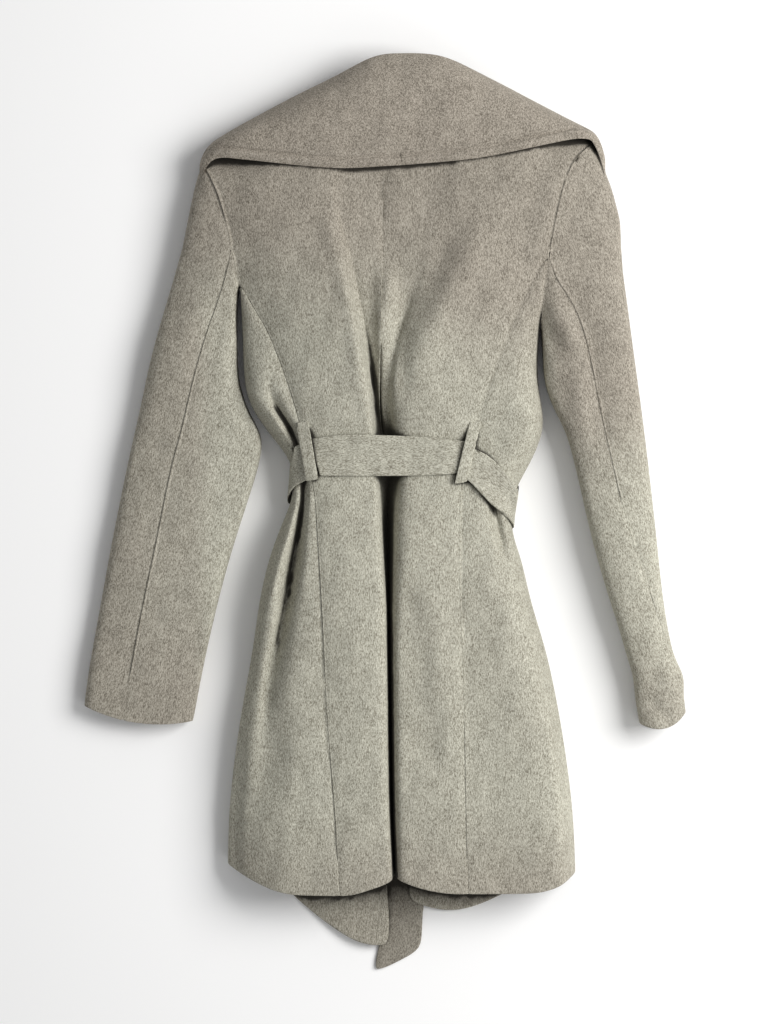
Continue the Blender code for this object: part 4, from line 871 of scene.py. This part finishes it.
def shadedAndWarm(points):
    # painted shade with a warmer tone: shoulders, collar, sleeves and hem are a little darker and warmer
    # than the middle of the back
    at = shadedAndWarmAt
    x, y = points[:, 0] / mm, points[:, 1] / mm
    shoulders = ease(y + at["lowerBy"] * ease(x, *at["lowerFrom"]), *at["shoulders"])
    hem = at["hemShare"] * ease(-y, *at["hem"])
    leftCuff = at["leftCuffShare"] * ease(-y, *at["leftCuff"])
    leftSleeve = ease(-x, *at["leftSleeve"]) * (at["leftShare"] + leftCuff)
    rightCuff = at["rightCuffShare"] * ease(x, *at["rightSleeve"]) * ease(-y, *at["rightCuff"])
    rightTop = at["rightTopShare"] * ease(x, *at["rightTop"]) * ease(y, *at["rightTopDown"])
    return np.max([shoulders, hem, leftSleeve, rightCuff, rightTop], axis=0)


def neighbours(grid):
    return [np.roll(grid, (x, y), (0, 1)) for x in (-1, 0, 1) for y in (-1, 0, 1)]


# the cloth's heights are kept in square cells; cell, edge, clear and steps are in millimetres
foldView = {
    "flat": 0.25, "least": 0.02, "under": -0.3, "clear": 6, "cell": 2.0, "edge": 60,
    "steps": (3, 5, 8, 12, 18, 26, 38, 54), "ways": 12,
}


def openness(coat):
    # share of the room above that each spot sees: 1 on top of the cloth, less down in a fold; the wool
    # paints shade in the folds from it
    cell = foldView["cell"] * mm
    low = np.min([piece["points"].min(axis=0) for piece in coat], axis=0)[:2] - foldView["edge"] * mm
    high = np.max([piece["points"].max(axis=0) for piece in coat], axis=0)[:2] + foldView["edge"] * mm
    heights = np.zeros(np.ceil((high - low) / cell).astype(int) + 1)
    for piece in coat:
        spots = ((piece["points"][:, :2] - low) / cell).round().astype(int)
        np.maximum.at(heights, (spots[:, 0], spots[:, 1]), piece["points"][:, 2])
    heights = np.where(heights == 0, np.max(neighbours(heights), axis=0), heights)
    heights = np.mean(neighbours(heights), axis=0)
    for piece in coat:
        points = piece["points"]
        normals = readNormals(piece["cloth"].data)
        seen, weights = np.zeros(len(points)), np.zeros(len(points))
        start = points[:, :2] + normals[:, :2] * foldView["clear"] * mm - low
        for k in range(foldView["ways"]):
            turn = 2 * np.pi * k / foldView["ways"]
            steepest = np.zeros(len(points))
            for step in foldView["steps"]:
                reach = np.array([np.cos(turn), np.sin(turn)]) * step * mm
                spots = ((start + reach) / cell).round().astype(int)
                rise = heights[spots[:, 0], spots[:, 1]] - points[:, 2]
                steepest = np.maximum(steepest, rise / (step * mm))
            # a steep place looks away from the cloth it belongs to
            facing = normals[:, 0] * np.cos(turn) + normals[:, 1] * np.sin(turn)
            weight = np.clip(foldView["flat"] + normals[:, 2] + facing, foldView["least"], 1)
            seen += weight / (1 + steepest ** 2)
            weights += weight
        seen = np.where(normals[:, 2] < foldView["under"], 1, seen / weights)
        share = piece["cloth"].data.attributes.new("openness", "FLOAT", "POINT")
        share.data.foreach_set("value", seen.astype(np.float32))
        # painted shade with a warmer tone, set by place on the coat
        shadeAndWarmth = piece["cloth"].data.attributes.new("shadedAndWarm", "FLOAT", "POINT")
        shadeAndWarmth.data.foreach_set("value", shadedAndWarm(points).astype(np.float32))


openness(coat)
print("folds measured")

total = 0
for piece in coat:
    cloth = piece["cloth"]
    cloth.data.materials.clear()
    cloth.data.materials.append(piece["wool"])
    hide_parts(piece["node"])
    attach(cloth, "root")
    triangles = sum(len(face.vertices) - 2 for face in cloth.data.polygons)
    total += triangles
    print(piece["name"], triangles, "triangles")
print("coat made,", total, "triangles")


# below is in millimetres
floorLook = {"size": 9.0, "below": 0.6, "colour": (0.97, 0.97, 0.97), "roughness": 0.9}
bpy.ops.object.select_all(action="DESELECT")
bpy.ops.mesh.primitive_plane_add(size=floorLook["size"], location=(0, 0, -floorLook["below"] * mm))
floor = bpy.context.active_object
floor.name = "paleFloor"
bpy.ops.object.transform_apply(location=True, rotation=True, scale=True)
paint = bpy.data.materials.new("paleFloor")
paint.use_nodes = True
paintShader = paint.node_tree.nodes["Principled BSDF"]
paintShader.inputs["Base Color"].default_value = (*floorLook["colour"], 1)
paintShader.inputs["Roughness"].default_value = floorLook["roughness"]
floor.data.materials.append(paint)

worldLook = {"colour": (0.985, 0.992, 1.0), "strength": 0.345}
world = bpy.data.worlds.new("studio")
bpy.context.scene.world = world
world.use_nodes = True
world.node_tree.nodes["Background"].inputs["Color"].default_value = (*worldLook["colour"], 1)
world.node_tree.nodes["Background"].inputs["Strength"].default_value = worldLook["strength"]


def softLamp(look):
    lamp = bpy.data.lights.new(look["name"], "AREA")
    lamp.energy = look["power"]
    lamp.size = look["size"]
    lamp.color = look["colour"]
    holder = bpy.data.objects.new(look["name"], lamp)
    bpy.context.scene.collection.objects.link(holder)
    holder.location = look["place"]
    aim = Vector(look["aim"]) - holder.location
    holder.rotation_euler = aim.to_track_quat("-Z", "Y").to_euler()


sideLamp = {
    "name": "sideLamp", "power": 95, "size": 1.8, "colour": (1.0, 0.992, 0.98),
    "place": (2.1, 0.6, 1.95), "aim": (0, -0.1, 0),
}
lowLamp = {
    "name": "lowLamp", "power": 9, "size": 1.6, "colour": (1.0, 0.995, 0.985),
    "place": (1.3, -1.8, 1.6), "aim": (0.05, -0.2, 0),
}
softLamp(sideLamp)
softLamp(lowLamp)

# across is the height of the whole view in metres
viewLook = {"lens": 300, "sensor": 36, "across": 1.1264, "centre": (-0.00055, -0.00055, 0.025)}
eye = bpy.data.cameras.new("overhead")
eye.lens = viewLook["lens"]
eye.sensor_width = viewLook["sensor"]
camera = bpy.data.objects.new("overhead", eye)
bpy.context.scene.collection.objects.link(camera)
centre = viewLook["centre"]
camera.location = (centre[0], centre[1], centre[2] + viewLook["across"] * eye.lens / eye.sensor_width)
bpy.context.scene.camera = camera
bpy.context.scene.view_settings.view_transform = "Standard"
print("floor, light and camera set")
